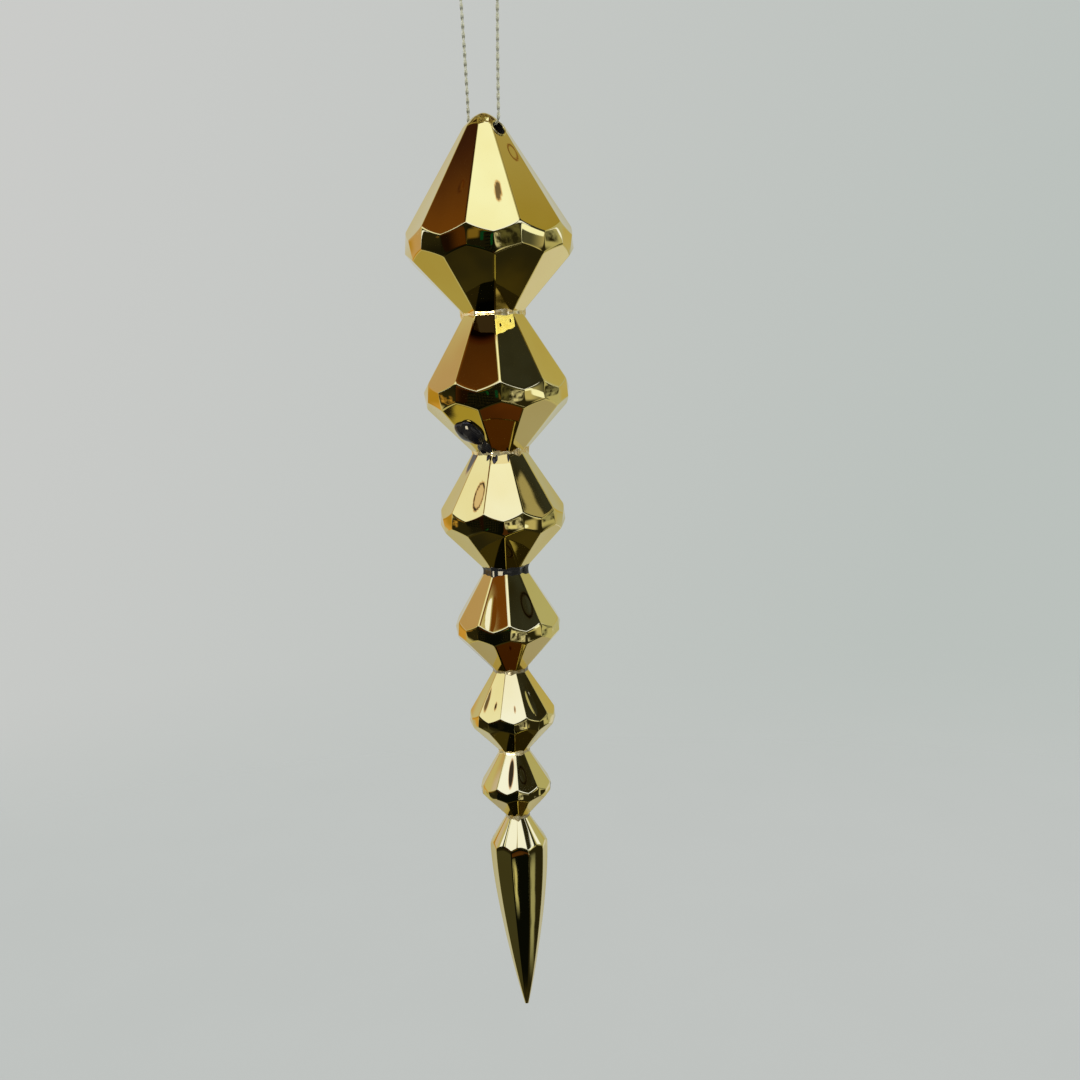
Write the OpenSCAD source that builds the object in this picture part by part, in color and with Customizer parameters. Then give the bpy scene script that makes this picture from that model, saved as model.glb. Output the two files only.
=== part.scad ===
// Faceted icicle ornament: six hollow gems and a spike, pegged and glued neck to neck,
// hanging in a loop of twisted thread.
// Units are millimetres. +Z is up. The origin is the top of the loop, where it hangs.
// X runs along the cross hole that holds the thread.

/* [Gems] */
// Radius of the top drop at its crown corners
drop_r = 19.4; // [16:0.1:23.4]
// Radius of the second gem at its crown corners
gem_2_r = 17; // [14:0.1:20.5]
// Radius of the third gem at its crown corners
gem_3_r = 14.8; // [12.2:0.1:17.8]
// Radius of the fourth gem at its crown corners
gem_4_r = 12.6; // [10.4:0.1:15.2]
// Radius of the fifth gem at its crown corners
gem_5_r = 10.4; // [8.6:0.1:12.5]
// Radius of the sixth gem at its crown corners
gem_6_r = 8.6; // [7.1:0.1:10.4]
// Radius of the spike at its ten long edges
spike_r = 7.2; // [5.9:0.1:8.7]
// Length of the spike's body, from its shoulder to the start of its rounded tip
spike_len = 44; // [30:0.5:60]
// Radius of the spike's rounded tip
spike_tip_r = 0.4; // [0.3:0.05:0.6]

/* [Necks] */
// Radius of the neck under the top drop
neck_1_r = 7.2; // [6:0.1:8.7]
// Radius of the neck under the second gem
neck_2_r = 6.4; // [5.3:0.1:7.7]
// Radius of the neck under the third gem
neck_3_r = 5.1; // [4.2:0.1:6.2]
// Radius of the neck under the fourth gem
neck_4_r = 4.1; // [3.4:0.1:5]
// Radius of the neck under the fifth gem
neck_5_r = 3.6; // [3:0.1:4.4]
// Radius of the neck under the sixth gem
neck_6_r = 2.8; // [2.3:0.1:3.4]

/* [Facets] */
// Widening of a crown for each millimetre down it
crown_slope = 0.63; // [0.52:0.01:0.76]
// Narrowing of a pavilion for each millimetre down it
pavilion_slope = 0.95; // [0.79:0.01:1.14]
// Height of a gem's girdle band for each millimetre of its radius
girdle_rise = 0.22; // [0.18:0.01:0.27]
// Radius of the girdle's outer corners for each millimetre of crown radius
girdle_swell = 1.02; // [1:0.005:1.03]

/* [Shells] */
// Wall of the hollow pieces, measured sideways
wall = 1.3; // [0.9:0.05:1.6]
// Depth of solid plastic at the top of the drop
solid_top = 8.5; // [8:0.1:10.5]
// Length of each peg inside one gem
peg_reach = 4.5; // [3.4:0.1:5.4]
// Gap round a peg for the glue
peg_gap = 0.1; // [0.05:0.05:0.2]
// Gap between a peg's end and the bottom of its socket
peg_end_gap = 0.4; // [0.2:0.1:0.8]
// Bevel on the ends of a peg
peg_bevel = 0.4; // [0.2:0.1:0.6]
// Radius of the glue bead in the groove of a neck
glue_r = 0.8; // [0.6:0.05:1]

/* [Hanger] */
// Rounding radius of the drop's top
dome_r = 5.2; // [4.3:0.1:5.4]
// Diameter of the cross hole
hole_d = 3.4; // [2.9:0.1:4]
// Distance from the drop's top down to the cross hole's centre
hole_drop = 4.3; // [4.2:0.1:5]
// Distance from the top of the loop down to the drop's top
hang_len = 64; // [64:0.5:70]
// Diameter of the twisted thread
thread_d = 0.8; // [0.7:0.05:0.9]
// Radius of the knot
knot_r = 1.5; // [1.3:0.1:1.8]
// Length of the knot along the thread
knot_len = 2.6; // [2.2:0.1:3.2]
// Length of each thread tail above the knot's middle
tail_len = 7; // [5:0.5:8]
// Lean of each tail
tail_lean = 35; // [20:1:50]

/* [Stray glue] */
// Length of the drop of glue on the second gem, along the facet
blot_len = 7.8; // [6:0.1:9]
// Width of that drop
blot_w = 5.8; // [4:0.1:6.4]
// Height of that drop
blot_h = 0.5; // [0.3:0.05:0.8]
// Distance of its centre above the neck
blot_up = 4.6; // [4.4:0.1:5.6]
// Gap between that drop and the facet under it
blot_gap = 0.02; // [0.02:0.01:0.05]

/* [Hidden] */

GOLD = "#c9ac4e";
PLASTIC = "#d8d2c0";
GLUE = "#a9a283";
DARK_GLUE = "#24211c";
THREAD = "#b79a55";

ROUND = 64;
// Cuts run this far past the face they open
CUT = 0.05;

// Facets round each piece, and the angle of one
SIDES = 10;
STEP = 360 / SIDES;
// A facet's middle line is this much nearer the axis than its edges
FLAT = cos(STEP / 2);

// Pieces count from 0, the drop, to 6, the spike. Neck i is under piece i.
GEM_R = [drop_r, gem_2_r, gem_3_r, gem_4_r, gem_5_r, gem_6_r, spike_r];
NECK_R = [neck_1_r, neck_2_r, neck_3_r, neck_4_r, neck_5_r, neck_6_r];
SPIKE = 6;
// Turn of each piece's crown edges: half a facet from gem to gem, and then what hand gluing left
TURN = [18, 0, 15.5, -1.5, 16, -1, -2];

// The drop's crown edges would meet this far above its rounded top
DOME_TIP = dome_r * (sqrt(1 + pow(crown_slope, 2)) / crown_slope - 1);
// Angle of the rounding, from the top to where it meets the crown
DOME_ANGLE = 90 - atan(crown_slope);
DOME_RINGS = 5;
DOME_FLAT_R = 0.5;

// Heights within one piece, measured down from its top
function corner_z(i) = i == 0
    ? drop_r / crown_slope - DOME_TIP
    : (GEM_R[i] - NECK_R[i - 1]) / crown_slope;
function vee_z(i) = corner_z(i) + GEM_R[i] * (girdle_swell - FLAT) / (crown_slope * FLAT);
function belt_z(i) = vee_z(i) + GEM_R[i] * girdle_rise;
function gable_z(i) = belt_z(i) - GEM_R[i] * (girdle_swell - FLAT) / (pavilion_slope * FLAT);
function gem_h(i) = belt_z(i) + (GEM_R[i] - NECK_R[i]) / pavilion_slope;
function top_z(i) = i == 0 ? -hang_len : top_z(i - 1) - gem_h(i - 1);

// The spike's shoulder: crown edges end on the body's flats, and its edges end in the crown's vees
SHOULDER_Z = (spike_r * FLAT - neck_6_r) / crown_slope;
SHOULDER_VEE_Z = (spike_r / FLAT - neck_6_r) / crown_slope;
SPIKE_CURVE = 1.5;
SPIKE_RINGS = 16;
SPIKE_HOLLOW = [0.15, 0.35, 0.55, 0.7];
function spike_body_r(t) = spike_r * (1 - pow(t, SPIKE_CURVE)) + spike_tip_r * t;
function spike_body_z(t) = SHOULDER_VEE_Z + spike_len * t;

SOCKET_DEPTH = peg_reach + peg_end_gap;
function socket_r(i) = NECK_R[i] * FLAT - wall;

HOLE_Z = -hang_len - hole_drop;

BLOT_SIDES = 24;
BLOT_RINGS = 5;

// Thread, from the knot over the right strand, through the hole and up the left strand
ROUTE = [
    [1.3, 0, 1.5], [2.3, 0, 1.5], [4.6, 0, 0.6], [6.8, 0, -2.6], [8, 0, -6.6], [8.4, 0, -12],
    [8.2, 0, -20], [7.7, 0, -30], [7.1, 0, -40], [6.4, 0, -50], [5.8, 0, -60], [5.6, 0, -64],
    [5.5, 0, -65.7], [5.1, 0, -66.7], [4.1, 0, -67.1], [2, 0, -67.1], [0, 0, -67.1],
    [-2, 0, -67.1], [-4.1, 0, -67.1], [-5.1, 0, -66.7], [-5.5, 0, -65.7], [-5.5, 0, -64],
    [-5.5, 0, -60], [-5.7, 0, -50], [-6, 0, -40], [-6.4, 0, -30], [-6.9, 0, -20],
    [-7.2, 0, -12], [-7.1, 0, -6.6], [-6.2, 0, -2.6], [-4.4, 0, 0.5], [-2.3, 0, 1.5], [-1.3, 0, 1.5]
];
THREAD_SIDES = 8;
// Longest step between rings, and the stretch below which a bend gets a ring in the middle
RING_STEP = 2.6;
BEND_STEP = 1.3;

function spot(r, a, z) = [r * cos(a), r * sin(a), z];
// Ten corners at one level
function ring(r, turn, z) = [for (k = [0:SIDES - 1]) spot(r, turn + STEP * k, z)];
// Twenty corners of a zigzag, by turns on a crown edge and on the middle of a crown facet
function zigzag(edge_r, edge_z, mid_r, mid_z, turn) = [
    for (k = [0:SIDES - 1])
    each [spot(edge_r, turn + STEP * k, edge_z), spot(mid_r, turn + STEP * (k + 0.5), mid_z)]
];

function next(k) = (k + 1) % SIDES;
function last(k) = (k + SIDES - 1) % SIDES;
function cap_up(a) = [[for (k = [SIDES - 1:-1:0]) a + k]];
function cap_down(a) = [[for (k = [0:SIDES - 1]) a + k]];
// Flats from the ring at index a down to the ring at index b
function flats(a, b) = [for (k = [0:SIDES - 1]) [a + k, a + next(k), b + next(k), b + k]];
// Crown facets, from a ring down to the vees of a zigzag
function crown(a, b) = [
    for (k = [0:SIDES - 1])
    [a + k, a + next(k), b + 2 * next(k), b + 2 * k + 1, b + 2 * k]
];
// Girdle facets between two zigzags, each creased from its outer top to its outer bottom corner
function girdle(a, b) = [
    for (k = [0:SIDES - 1])
    let (left = 2 * k, mid = 2 * k + 1, right = 2 * next(k))
    each [
        [a + left, a + mid, b + left], [b + left, a + mid, b + mid],
        [a + mid, a + right, b + right], [a + mid, b + right, b + mid]
    ]
];
// Pavilion facets, each a gable under a crown edge and a flat down to a ring
function pavilion(a, b) = [
    for (k = [0:SIDES - 1])
    let (left = a + 2 * last(k) + 1, peak = a + 2 * k, right = a + 2 * k + 1)
    each [[left, peak, right], [left, right, b + k, b + last(k)]]
];

// Corners and faces of piece i from its crown corners down to its lower neck
function waist_points(i) = concat(
    zigzag(GEM_R[i], -corner_z(i), GEM_R[i] * girdle_swell, -vee_z(i), TURN[i]),
    zigzag(GEM_R[i] * girdle_swell, -gable_z(i), GEM_R[i], -belt_z(i), TURN[i]),
    ring(NECK_R[i], TURN[i] + STEP / 2, -gem_h(i))
);
function waist_faces(a) = concat(
    girdle(a, a + 2 * SIDES),
    pavilion(a + 2 * SIDES, a + 4 * SIDES),
    cap_down(a + 4 * SIDES)
);

module gem_form(i) {
    polyhedron(
        points = concat(ring(NECK_R[i - 1], TURN[i], 0), waist_points(i)),
        faces = concat(cap_up(0), crown(0, SIDES), waist_faces(SIDES))
    );
}

module drop_form() {
    start = asin(DOME_FLAT_R / dome_r);
    angles = [for (j = [0:DOME_RINGS]) start + (DOME_ANGLE - start) * j / DOME_RINGS];
    rings = [for (a = angles) each ring(dome_r * sin(a), TURN[0], -dome_r * (1 - cos(a)))];
    edge = SIDES * DOME_RINGS;
    polyhedron(
        points = concat(rings, waist_points(0)),
        faces = concat(
            cap_up(0),
            [for (j = [0:DOME_RINGS - 1]) each flats(SIDES * j, SIDES * (j + 1))],
            crown(edge, edge + SIDES),
            waist_faces(edge + SIDES)
        )
    );
}

module spike_form() {
    turn = TURN[SPIKE] + STEP / 2;
    shoulder = zigzag(spike_r * FLAT, -SHOULDER_Z, spike_r, -SHOULDER_VEE_Z, TURN[SPIKE]);
    body = [
        for (j = [1:SPIKE_RINGS])
        let (t = j / SPIKE_RINGS)
        each ring(spike_body_r(t), turn, -spike_body_z(t))
    ];
    tip = ring(spike_tip_r / 2, turn, -spike_body_z(1) - spike_tip_r * 0.87);
    first = 3 * SIDES;
    polyhedron(
        points = concat(ring(neck_6_r, TURN[SPIKE], 0), shoulder, body, tip),
        faces = concat(
            cap_up(0),
            crown(0, SIDES),
            pavilion(SIDES, first),
            [for (j = [0:SPIKE_RINGS - 1]) each flats(first + SIDES * j, first + SIDES * (j + 1))],
            cap_down(first + SIDES * SPIKE_RINGS)
        )
    );
}

// A turned hollow, from points that are a radius and a depth
module hollow(profile) {
    rotate_extrude($fn = ROUND)
        polygon(concat(
            [[0, -profile[0][1]]],
            [for (p = profile) [p[0], -p[1]]],
            [[0, -profile[len(profile) - 1][1]]]
        ));
}

// Radius one wall inside the flats, at a depth below the upper neck or a height above the lower one
function under_crown(i, depth) = (NECK_R[i - 1] + depth * crown_slope) * FLAT - wall;
function over_pavilion(i, rise) = (NECK_R[i] + rise * pavilion_slope) * FLAT - wall;

// Points of the hollow from the girdle down to the socket in the lower neck
function lower_hollow(i) = [
    [GEM_R[i] * FLAT - wall, corner_z(i)],
    [GEM_R[i] * FLAT - wall, belt_z(i)],
    [over_pavilion(i, SOCKET_DEPTH), gem_h(i) - SOCKET_DEPTH]
];

module top_socket(i) {
    translate([0, 0, -SOCKET_DEPTH - CUT])
        cylinder(h = SOCKET_DEPTH + 2 * CUT, r = socket_r(i - 1), $fn = ROUND);
}

module bottom_socket(i) {
    translate([0, 0, -gem_h(i) - CUT])
        cylinder(h = SOCKET_DEPTH + 2 * CUT, r = socket_r(i), $fn = ROUND);
}

module top_drop() {
    drop_top_r = (solid_top + DOME_TIP) * crown_slope * FLAT - wall;
    color(GOLD)
        difference() {
            translate([0, 0, top_z(0)])
                difference() {
                    drop_form();
                    hollow(concat([[drop_top_r, solid_top]], lower_hollow(0)));
                    bottom_socket(0);
                }
            translate([0, 0, HOLE_Z])
                rotate([0, 90, 0])
                    cylinder(h = 2 * drop_r, d = hole_d, center = true, $fn = ROUND);
        }
}

module gem(i) {
    color(GOLD)
        translate([0, 0, top_z(i)])
            difference() {
                gem_form(i);
                hollow(concat([[under_crown(i, SOCKET_DEPTH), SOCKET_DEPTH]], lower_hollow(i)));
                top_socket(i);
                bottom_socket(i);
            }
}

module spike_point() {
    core = [for (t = SPIKE_HOLLOW) [spike_body_r(t) * FLAT - wall, spike_body_z(t)]];
    color(GOLD)
        translate([0, 0, top_z(SPIKE)])
            difference() {
                spike_form();
                hollow(concat([[under_crown(SPIKE, SOCKET_DEPTH), SOCKET_DEPTH]], core));
                top_socket(SPIKE);
            }
}

// Round peg across neck i
module neck_peg(i) {
    r = socket_r(i) - peg_gap;
    half = peg_reach;
    color(PLASTIC)
        translate([0, 0, top_z(i + 1)])
            rotate_extrude($fn = ROUND)
                polygon([
                    [0, -half], [r - peg_bevel, -half], [r, peg_bevel - half],
                    [r, half - peg_bevel], [r - peg_bevel, half], [0, half]
                ]);
}

// Glue that fills the groove round neck i, and bulges a little out of it
module neck_glue(i) {
    color(GLUE)
        difference() {
            translate([0, 0, top_z(i + 1)])
                rotate_extrude($fn = ROUND)
                    translate([NECK_R[i], 0])
                        circle(r = glue_r, $fn = ROUND / 2);
            translate([0, 0, top_z(i)])
                if (i == 0) drop_form();
                else gem_form(i);
            translate([0, 0, top_z(i + 1)])
                if (i + 1 == SPIKE) spike_form();
                else gem_form(i + 1);
        }
}

// Flat-backed drop of glue that lies on a pavilion facet of the second gem
module stray_glue() {
    lean = atan(pavilion_slope * FLAT);
    out = (NECK_R[1] + blot_up * pavilion_slope) * FLAT;
    ball_r = (pow(blot_w / 2, 2) + pow(blot_h, 2)) / (2 * blot_h);
    // Rings from the rim, at 1, to the smallest, round the crest
    shares = [for (j = [0:BLOT_RINGS - 1]) 1 - j / BLOT_RINGS];
    heights = [
        for (share = shares)
        share == 1 ? 0 : blot_h - ball_r + sqrt(pow(ball_r, 2) - pow(share * blot_w / 2, 2))
    ];
    points = [
        for (j = [0:BLOT_RINGS - 1], k = [0:BLOT_SIDES - 1])
        let (a = 360 * k / BLOT_SIDES)
        [shares[j] * blot_len / 2 * cos(a), shares[j] * blot_w / 2 * sin(a), heights[j]]
    ];
    crest = len(points);
    inner = crest - BLOT_SIDES;
    around = [for (k = [0:BLOT_SIDES - 1]) [k, (k + 1) % BLOT_SIDES]];
    slopes = [
        for (j = [0:BLOT_RINGS - 2], k = around)
        let (a = j * BLOT_SIDES, b = a + BLOT_SIDES)
        [a + k[0], b + k[0], b + k[1], a + k[1]]
    ];
    peaks = [for (k = around) [inner + k[0], crest, inner + k[1]]];
    back = [for (k = [0:BLOT_SIDES - 1]) k];
    color(DARK_GLUE)
        rotate([0, 0, -2 * STEP])
            translate([out, 0, top_z(2) + blot_up])
                rotate([0, 90 + lean, 0])
                    translate([0, 0, blot_gap])
                        polyhedron(
                            points = concat(points, [[0, 0, blot_h]]),
                            faces = concat(slopes, peaks, [back])
                        );
}

// Smooth curve through the route: direction at each point, then points along each stretch
function heading(i) =
    let (a = ROUTE[max(i - 1, 0)], b = ROUTE[min(i + 1, len(ROUTE) - 1)])
    (b - a) / norm(b - a);
function along(i, t) =
    let (a = ROUTE[i], b = ROUTE[i + 1], reach = norm(b - a))
    a * (2 * pow(t, 3) - 3 * pow(t, 2) + 1) + b * (3 * pow(t, 2) - 2 * pow(t, 3))
    + heading(i) * reach * (pow(t, 3) - 2 * pow(t, 2) + t)
    + heading(i + 1) * reach * (pow(t, 3) - pow(t, 2));
function steps(i) =
    let (reach = norm(ROUTE[i + 1] - ROUTE[i]))
    reach < BEND_STEP ? 2 : ceil(reach / RING_STEP);

module hanging_thread() {
    path = concat(
        [for (i = [0:len(ROUTE) - 2], k = [0:steps(i) - 1]) along(i, k / steps(i))],
        [ROUTE[len(ROUTE) - 1]]
    );
    count = len(path);
    points = [
        for (j = [0:count - 1])
        let (ends = j == 0 || j == count - 1)
        let (ahead = ends ? heading(j == 0 ? 0 : len(ROUTE) - 1) : path[j + 1] - path[j - 1])
        let (side = [0, 1, 0], out = cross(ahead / norm(ahead), side))
        for (k = [0:THREAD_SIDES - 1])
        path[j] + thread_d / 2 * (cos(360 * k / THREAD_SIDES) * out + sin(360 * k / THREAD_SIDES) * side)
    ];
    around = [for (k = [0:THREAD_SIDES - 1]) [k, (k + 1) % THREAD_SIDES]];
    sides = [
        for (j = [0:count - 2], k = around)
        let (a = j * THREAD_SIDES, b = a + THREAD_SIDES)
        [a + k[0], b + k[0], b + k[1], a + k[1]]
    ];
    start_cap = [for (k = [0:THREAD_SIDES - 1]) k];
    end_cap = [for (k = [THREAD_SIDES - 1:-1:0]) (count - 1) * THREAD_SIDES + k];
    color(THREAD)
        polyhedron(points = points, faces = concat(sides, [start_cap, end_cap]));
}

// Knot that joins the two ends of the thread, with their cut tails
module thread_knot() {
    half = knot_len / 2;
    soft = knot_r / 3;
    color(THREAD)
        translate([0, 0, knot_r]) {
            rotate([0, 90, 0])
                rotate_extrude($fn = ROUND / 2)
                    polygon([
                        [0, -half], [knot_r - soft, -half], [knot_r, soft - half],
                        [knot_r, half - soft], [knot_r - soft, half], [0, half]
                    ]);
            for (lean = [-tail_lean, tail_lean])
                rotate([lean / 3, lean, 0])
                    cylinder(h = tail_len, d = thread_d, $fn = ROUND / 4);
        }
}

top_drop();
gem(1);  // gem_2
gem(2);  // gem_3
gem(3);  // gem_4
gem(4);  // gem_5
gem(5);  // gem_6
spike_point();
neck_peg(0);  // neck_peg_1
neck_peg(1);  // neck_peg_2
neck_peg(2);  // neck_peg_3
neck_peg(3);  // neck_peg_4
neck_peg(4);  // neck_peg_5
neck_peg(5);  // neck_peg_6
neck_glue(0);  // neck_glue_1
neck_glue(1);  // neck_glue_2
neck_glue(2);  // neck_glue_3
neck_glue(3);  // neck_glue_4
neck_glue(4);  // neck_glue_5
neck_glue(5);  // neck_glue_6
stray_glue();
hanging_thread();
thread_knot();
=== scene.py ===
# %% [markdown]
# # A faceted icicle ornament in gold mirror finish
# Six hollow gems and a spike, glued neck to neck, hang in a loop of twisted metallic thread.
# The construction comes packed, at its real size, and stays where it is. This lesson gives it its looks:
# the thread and its knot, the dished facets with their soft edges, the glue, and the mirror finish.

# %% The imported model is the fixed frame
import math
from collections import namedtuple

import bmesh
import bpy
import numpy as np
from mathutils import Matrix, Vector


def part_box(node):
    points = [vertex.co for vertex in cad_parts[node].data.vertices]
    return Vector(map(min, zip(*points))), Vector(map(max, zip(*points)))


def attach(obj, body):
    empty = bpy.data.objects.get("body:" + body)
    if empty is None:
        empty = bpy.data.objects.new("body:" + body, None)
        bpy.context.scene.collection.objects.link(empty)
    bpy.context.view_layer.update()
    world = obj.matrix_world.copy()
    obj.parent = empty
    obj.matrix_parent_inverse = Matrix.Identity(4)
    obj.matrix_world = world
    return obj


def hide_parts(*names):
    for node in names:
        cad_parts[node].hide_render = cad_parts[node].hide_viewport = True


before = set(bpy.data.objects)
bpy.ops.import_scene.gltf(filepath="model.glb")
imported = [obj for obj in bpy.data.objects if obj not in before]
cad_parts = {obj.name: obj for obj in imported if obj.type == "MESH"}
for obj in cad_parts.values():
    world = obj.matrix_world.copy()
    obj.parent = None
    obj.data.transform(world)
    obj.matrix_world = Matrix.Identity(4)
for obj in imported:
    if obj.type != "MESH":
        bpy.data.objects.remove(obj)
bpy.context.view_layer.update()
MM = 0.001
scene = bpy.context.scene

# %% [markdown]
# ## Camera
# The camera stands close to the ornament, a little below its top, and looks slightly down.
# It is placed by its distance, height and angles from the rounded top, so that it follows the model.

# %% Camera
APEX = Vector((0, 0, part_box("top_drop")[1].z))
CAMERA_YAW = math.radians(49.24)
CAMERA_PITCH = math.radians(-8.59)
CAMERA_ROLL = math.radians(-2.567)
CAMERA_BACK = 289 * MM
CAMERA_ASIDE = 8.7 * MM
CAMERA_DROP = 56.3 * MM
CAMERA_LENS = 40.17
SENSOR_WIDE = 36


def new_object(name, data):
    """An object in the scene."""
    obj = bpy.data.objects.new(name, data)
    scene.collection.objects.link(obj)
    return obj


def make_camera():
    """A camera that is set back from the axis, aimed by yaw and pitch, then rolled."""
    data = bpy.data.cameras.new("camera")
    data.lens = CAMERA_LENS
    data.sensor_width = SENSOR_WIDE
    data.clip_start = 0.01
    data.clip_end = 20
    camera = new_object("camera", data)
    yaw = Matrix.Rotation(CAMERA_YAW, 4, "Z")
    tilt = Matrix.Rotation(math.pi / 2 + CAMERA_PITCH, 4, "X")
    roll = Matrix.Rotation(CAMERA_ROLL, 4, "Z")
    place = APEX + yaw @ Vector((CAMERA_ASIDE, -CAMERA_BACK, -CAMERA_DROP))
    camera.matrix_world = Matrix.Translation(place) @ yaw @ tilt @ roll
    scene.camera = camera
    return camera


camera = make_camera()
print("camera at", [round(x, 4) for x in camera.matrix_world.translation])

# %% [markdown]
# ## Thread
# The hanger is one length of metallic thread: two gold strands twisted together. It leaves the knot, goes
# down the right side, through the cross hole and up the left side. A curve with a round profile would
# look like wire, so each strand is a thin tube that winds round the shared line.

# %% The thread's line
ROUTE = [
    (1.3, 0, 1.5), (2.3, 0, 1.5), (4.6, 0, 0.6), (6.8, 0, -2.6), (8, 0, -6.6), (8.4, 0, -12),
    (8.2, 0, -20), (7.7, 0, -30), (7.1, 0, -40), (6.4, 0, -50), (5.8, 0, -60), (5.6, 0, -64),
    (5.5, 0, -65.7), (5.1, 0, -66.7), (4.1, 0, -67.1), (2, 0, -67.1), (0, 0, -67.1),
    (-2, 0, -67.1), (-4.1, 0, -67.1), (-5.1, 0, -66.7), (-5.5, 0, -65.7), (-5.5, 0, -64),
    (-5.5, 0, -60), (-5.7, 0, -50), (-6, 0, -40), (-6.4, 0, -30), (-6.9, 0, -20),
    (-7.2, 0, -12), (-7.1, 0, -6.6), (-6.2, 0, -2.6), (-4.4, 0, 0.5), (-2.3, 0, 1.5), (-1.3, 0, 1.5),
]
PATH_STEP = 0.2 * MM


def smooth_line(points, step):
    """Points a short step apart on the smooth curve through a route."""
    p = np.array(points, float)
    before = np.vstack([p[:1], p[:-1]])
    after = np.vstack([p[1:], p[-1:]])
    heading = (after - before) / np.linalg.norm(after - before, axis=1)[:, None]
    line = []
    for i in range(len(p) - 1):
        reach = np.linalg.norm(p[i + 1] - p[i])
        t = np.linspace(0, 1, max(2, math.ceil(reach / step)), endpoint=False)[:, None]
        line.append(
            p[i] * (2 * t**3 - 3 * t**2 + 1)
            + p[i + 1] * (3 * t**2 - 2 * t**3)
            + heading[i] * reach * (t**3 - 2 * t**2 + t)
            + heading[i + 1] * reach * (t**3 - t**2)
        )
    return np.vstack(line + [p[-1:]])


def run_along(line):
    """How far along a line each of its points lies."""
    return np.concatenate([[0], np.cumsum(np.linalg.norm(np.diff(line, axis=0), axis=1))])


thread_line = smooth_line(np.array(ROUTE) * MM, PATH_STEP)
thread_length = float(run_along(thread_line)[-1])
print("thread length", round(thread_length / MM, 1), "mm")

# %% Meshes from grids of points


def mesh_object(name, verts, faces):
    """A smooth mesh object in the scene, with outward faces."""
    mesh = bpy.data.meshes.new(name)
    mesh.from_pydata([tuple(v) for v in verts], [], faces)
    made = bmesh.new()
    made.from_mesh(mesh)
    bmesh.ops.recalc_face_normals(made, faces=made.faces)
    made.to_mesh(mesh)
    made.free()
    mesh.polygons.foreach_set("use_smooth", [True] * len(mesh.polygons))
    return new_object(name, mesh)


def point_values(mesh, name, values):
    """Stores a number at each corner of a mesh, which its material reads by name."""
    mesh.attributes.new(name, "FLOAT", "POINT").data.foreach_set("value", values)


def grid_faces(rows, columns, around=True, looped=False):
    """Faces between the points of a grid that are counted row by row.

    around closes each row into a ring, and looped joins the last row to the first."""
    faces = []
    for j in range(rows if looped else rows - 1):
        a, b = j * columns, (j + 1) % rows * columns
        for i in range(columns if around else columns - 1):
            k = (i + 1) % columns
            faces.append((a + i, a + k, b + k, b + i))
    return faces


# %% Tubes from lines of points
ANY_SIDE = (0.13, 0.97, 0.21)


def frames_along(line):
    """Two unit side directions at each point of a line, turning as little as they can."""
    tangent = np.gradient(line, axis=0)
    tangent /= np.linalg.norm(tangent, axis=1)[:, None]
    side = np.zeros_like(line)
    first = np.cross(tangent[0], ANY_SIDE)
    side[0] = first / np.linalg.norm(first)
    for i in range(1, len(line)):
        turned = side[i - 1] - tangent[i] * (side[i - 1] @ tangent[i])
        side[i] = turned / np.linalg.norm(turned)
    return side, np.cross(tangent, side)


def tube_corners(line, side, up, radius, sides):
    """Corners of a tube, ring by ring along its line."""
    angle = np.arange(sides) * 2 * math.pi / sides
    ring = side[:, None] * np.cos(angle)[:, None] + up[:, None] * np.sin(angle)[:, None]
    return (line[:, None] + ring * radius).reshape(-1, 3)


def tube(line, radius, sides):
    """Corners and faces of a tube that is closed at both ends."""
    verts = tube_corners(line, *frames_along(line), radius, sides)
    count = len(verts)
    ends = [tuple(range(sides))[::-1], tuple(range(count - sides, count))]
    return verts, grid_faces(len(line), sides) + ends


def joined(parts):
    """Corners and faces of several shapes as one."""
    verts, faces, count = [], [], 0
    for v, f in parts:
        verts.append(np.asarray(v))
        faces += [tuple(i + count for i in face) for face in f]
        count += len(v)
    return np.vstack(verts), faces


# %% The twisted thread
STRANDS = 2
STRAND_R = 0.215 * MM
STRAND_OFFSET = 0.185 * MM
TWIST_PITCH = 4.2 * MM
STRAND_SIDES = 8
CROSSING_POWER = 6


def strand_lines(line):
    """The lines of the strands, which wind round a shared line."""
    side, up = frames_along(line)
    for k in range(STRANDS):
        turn = (2 * math.pi * (run_along(line) / TWIST_PITCH + k / STRANDS))[:, None]
        yield line + STRAND_OFFSET * (side * np.cos(turn) + up * np.sin(turn))


def make_thread():
    """Both strands as one mesh, with the places where they cross stored for the material, which paints shade
    there.
    """
    coarse = thread_line[::2]
    parts = [tube(strand, STRAND_R, STRAND_SIDES) for strand in strand_lines(coarse)]
    thread = mesh_object("twisted_thread", *joined(parts))
    crossing = np.cos(STRANDS * math.pi * run_along(coarse) / TWIST_PITCH) ** CROSSING_POWER
    point_values(thread.data, "crossing", np.tile(np.repeat(crossing, STRAND_SIDES), STRANDS))
    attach(thread, "thread_loop")
    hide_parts("hanging_thread")
    return thread


thread = make_thread()
print("thread corners", len(thread.data.vertices))

# %% [markdown]
# ## Knot
# The two ends meet in an overhand knot. A real knot would be slow to draw and hardly seen, so its body is
# the thread wound round a core a few times, and the two cut tails stand out of it.

# %% The knot
KNOT_LOW, KNOT_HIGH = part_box("thread_knot")
KNOT_Z = 1.5 * MM
KNOT_TURNS = 3
WRAP_R = 0.95 * MM
WRAP_LONG = 1.75 * MM
WRAP_BULGE = 0.18
WRAP_SWELL = 1.15
WRAP_POINTS = 90
CORE_R = 0.75 * MM
CORE_HALF = 1.25 * MM
CORE_POINTS = 9
CORE_SIDES = 12
TAIL_LEAN = math.radians(35)
TAIL_CURL = 0.35 * MM
TAIL_SPARE = 0.5 * MM
TAIL_POINTS = 26


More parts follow.
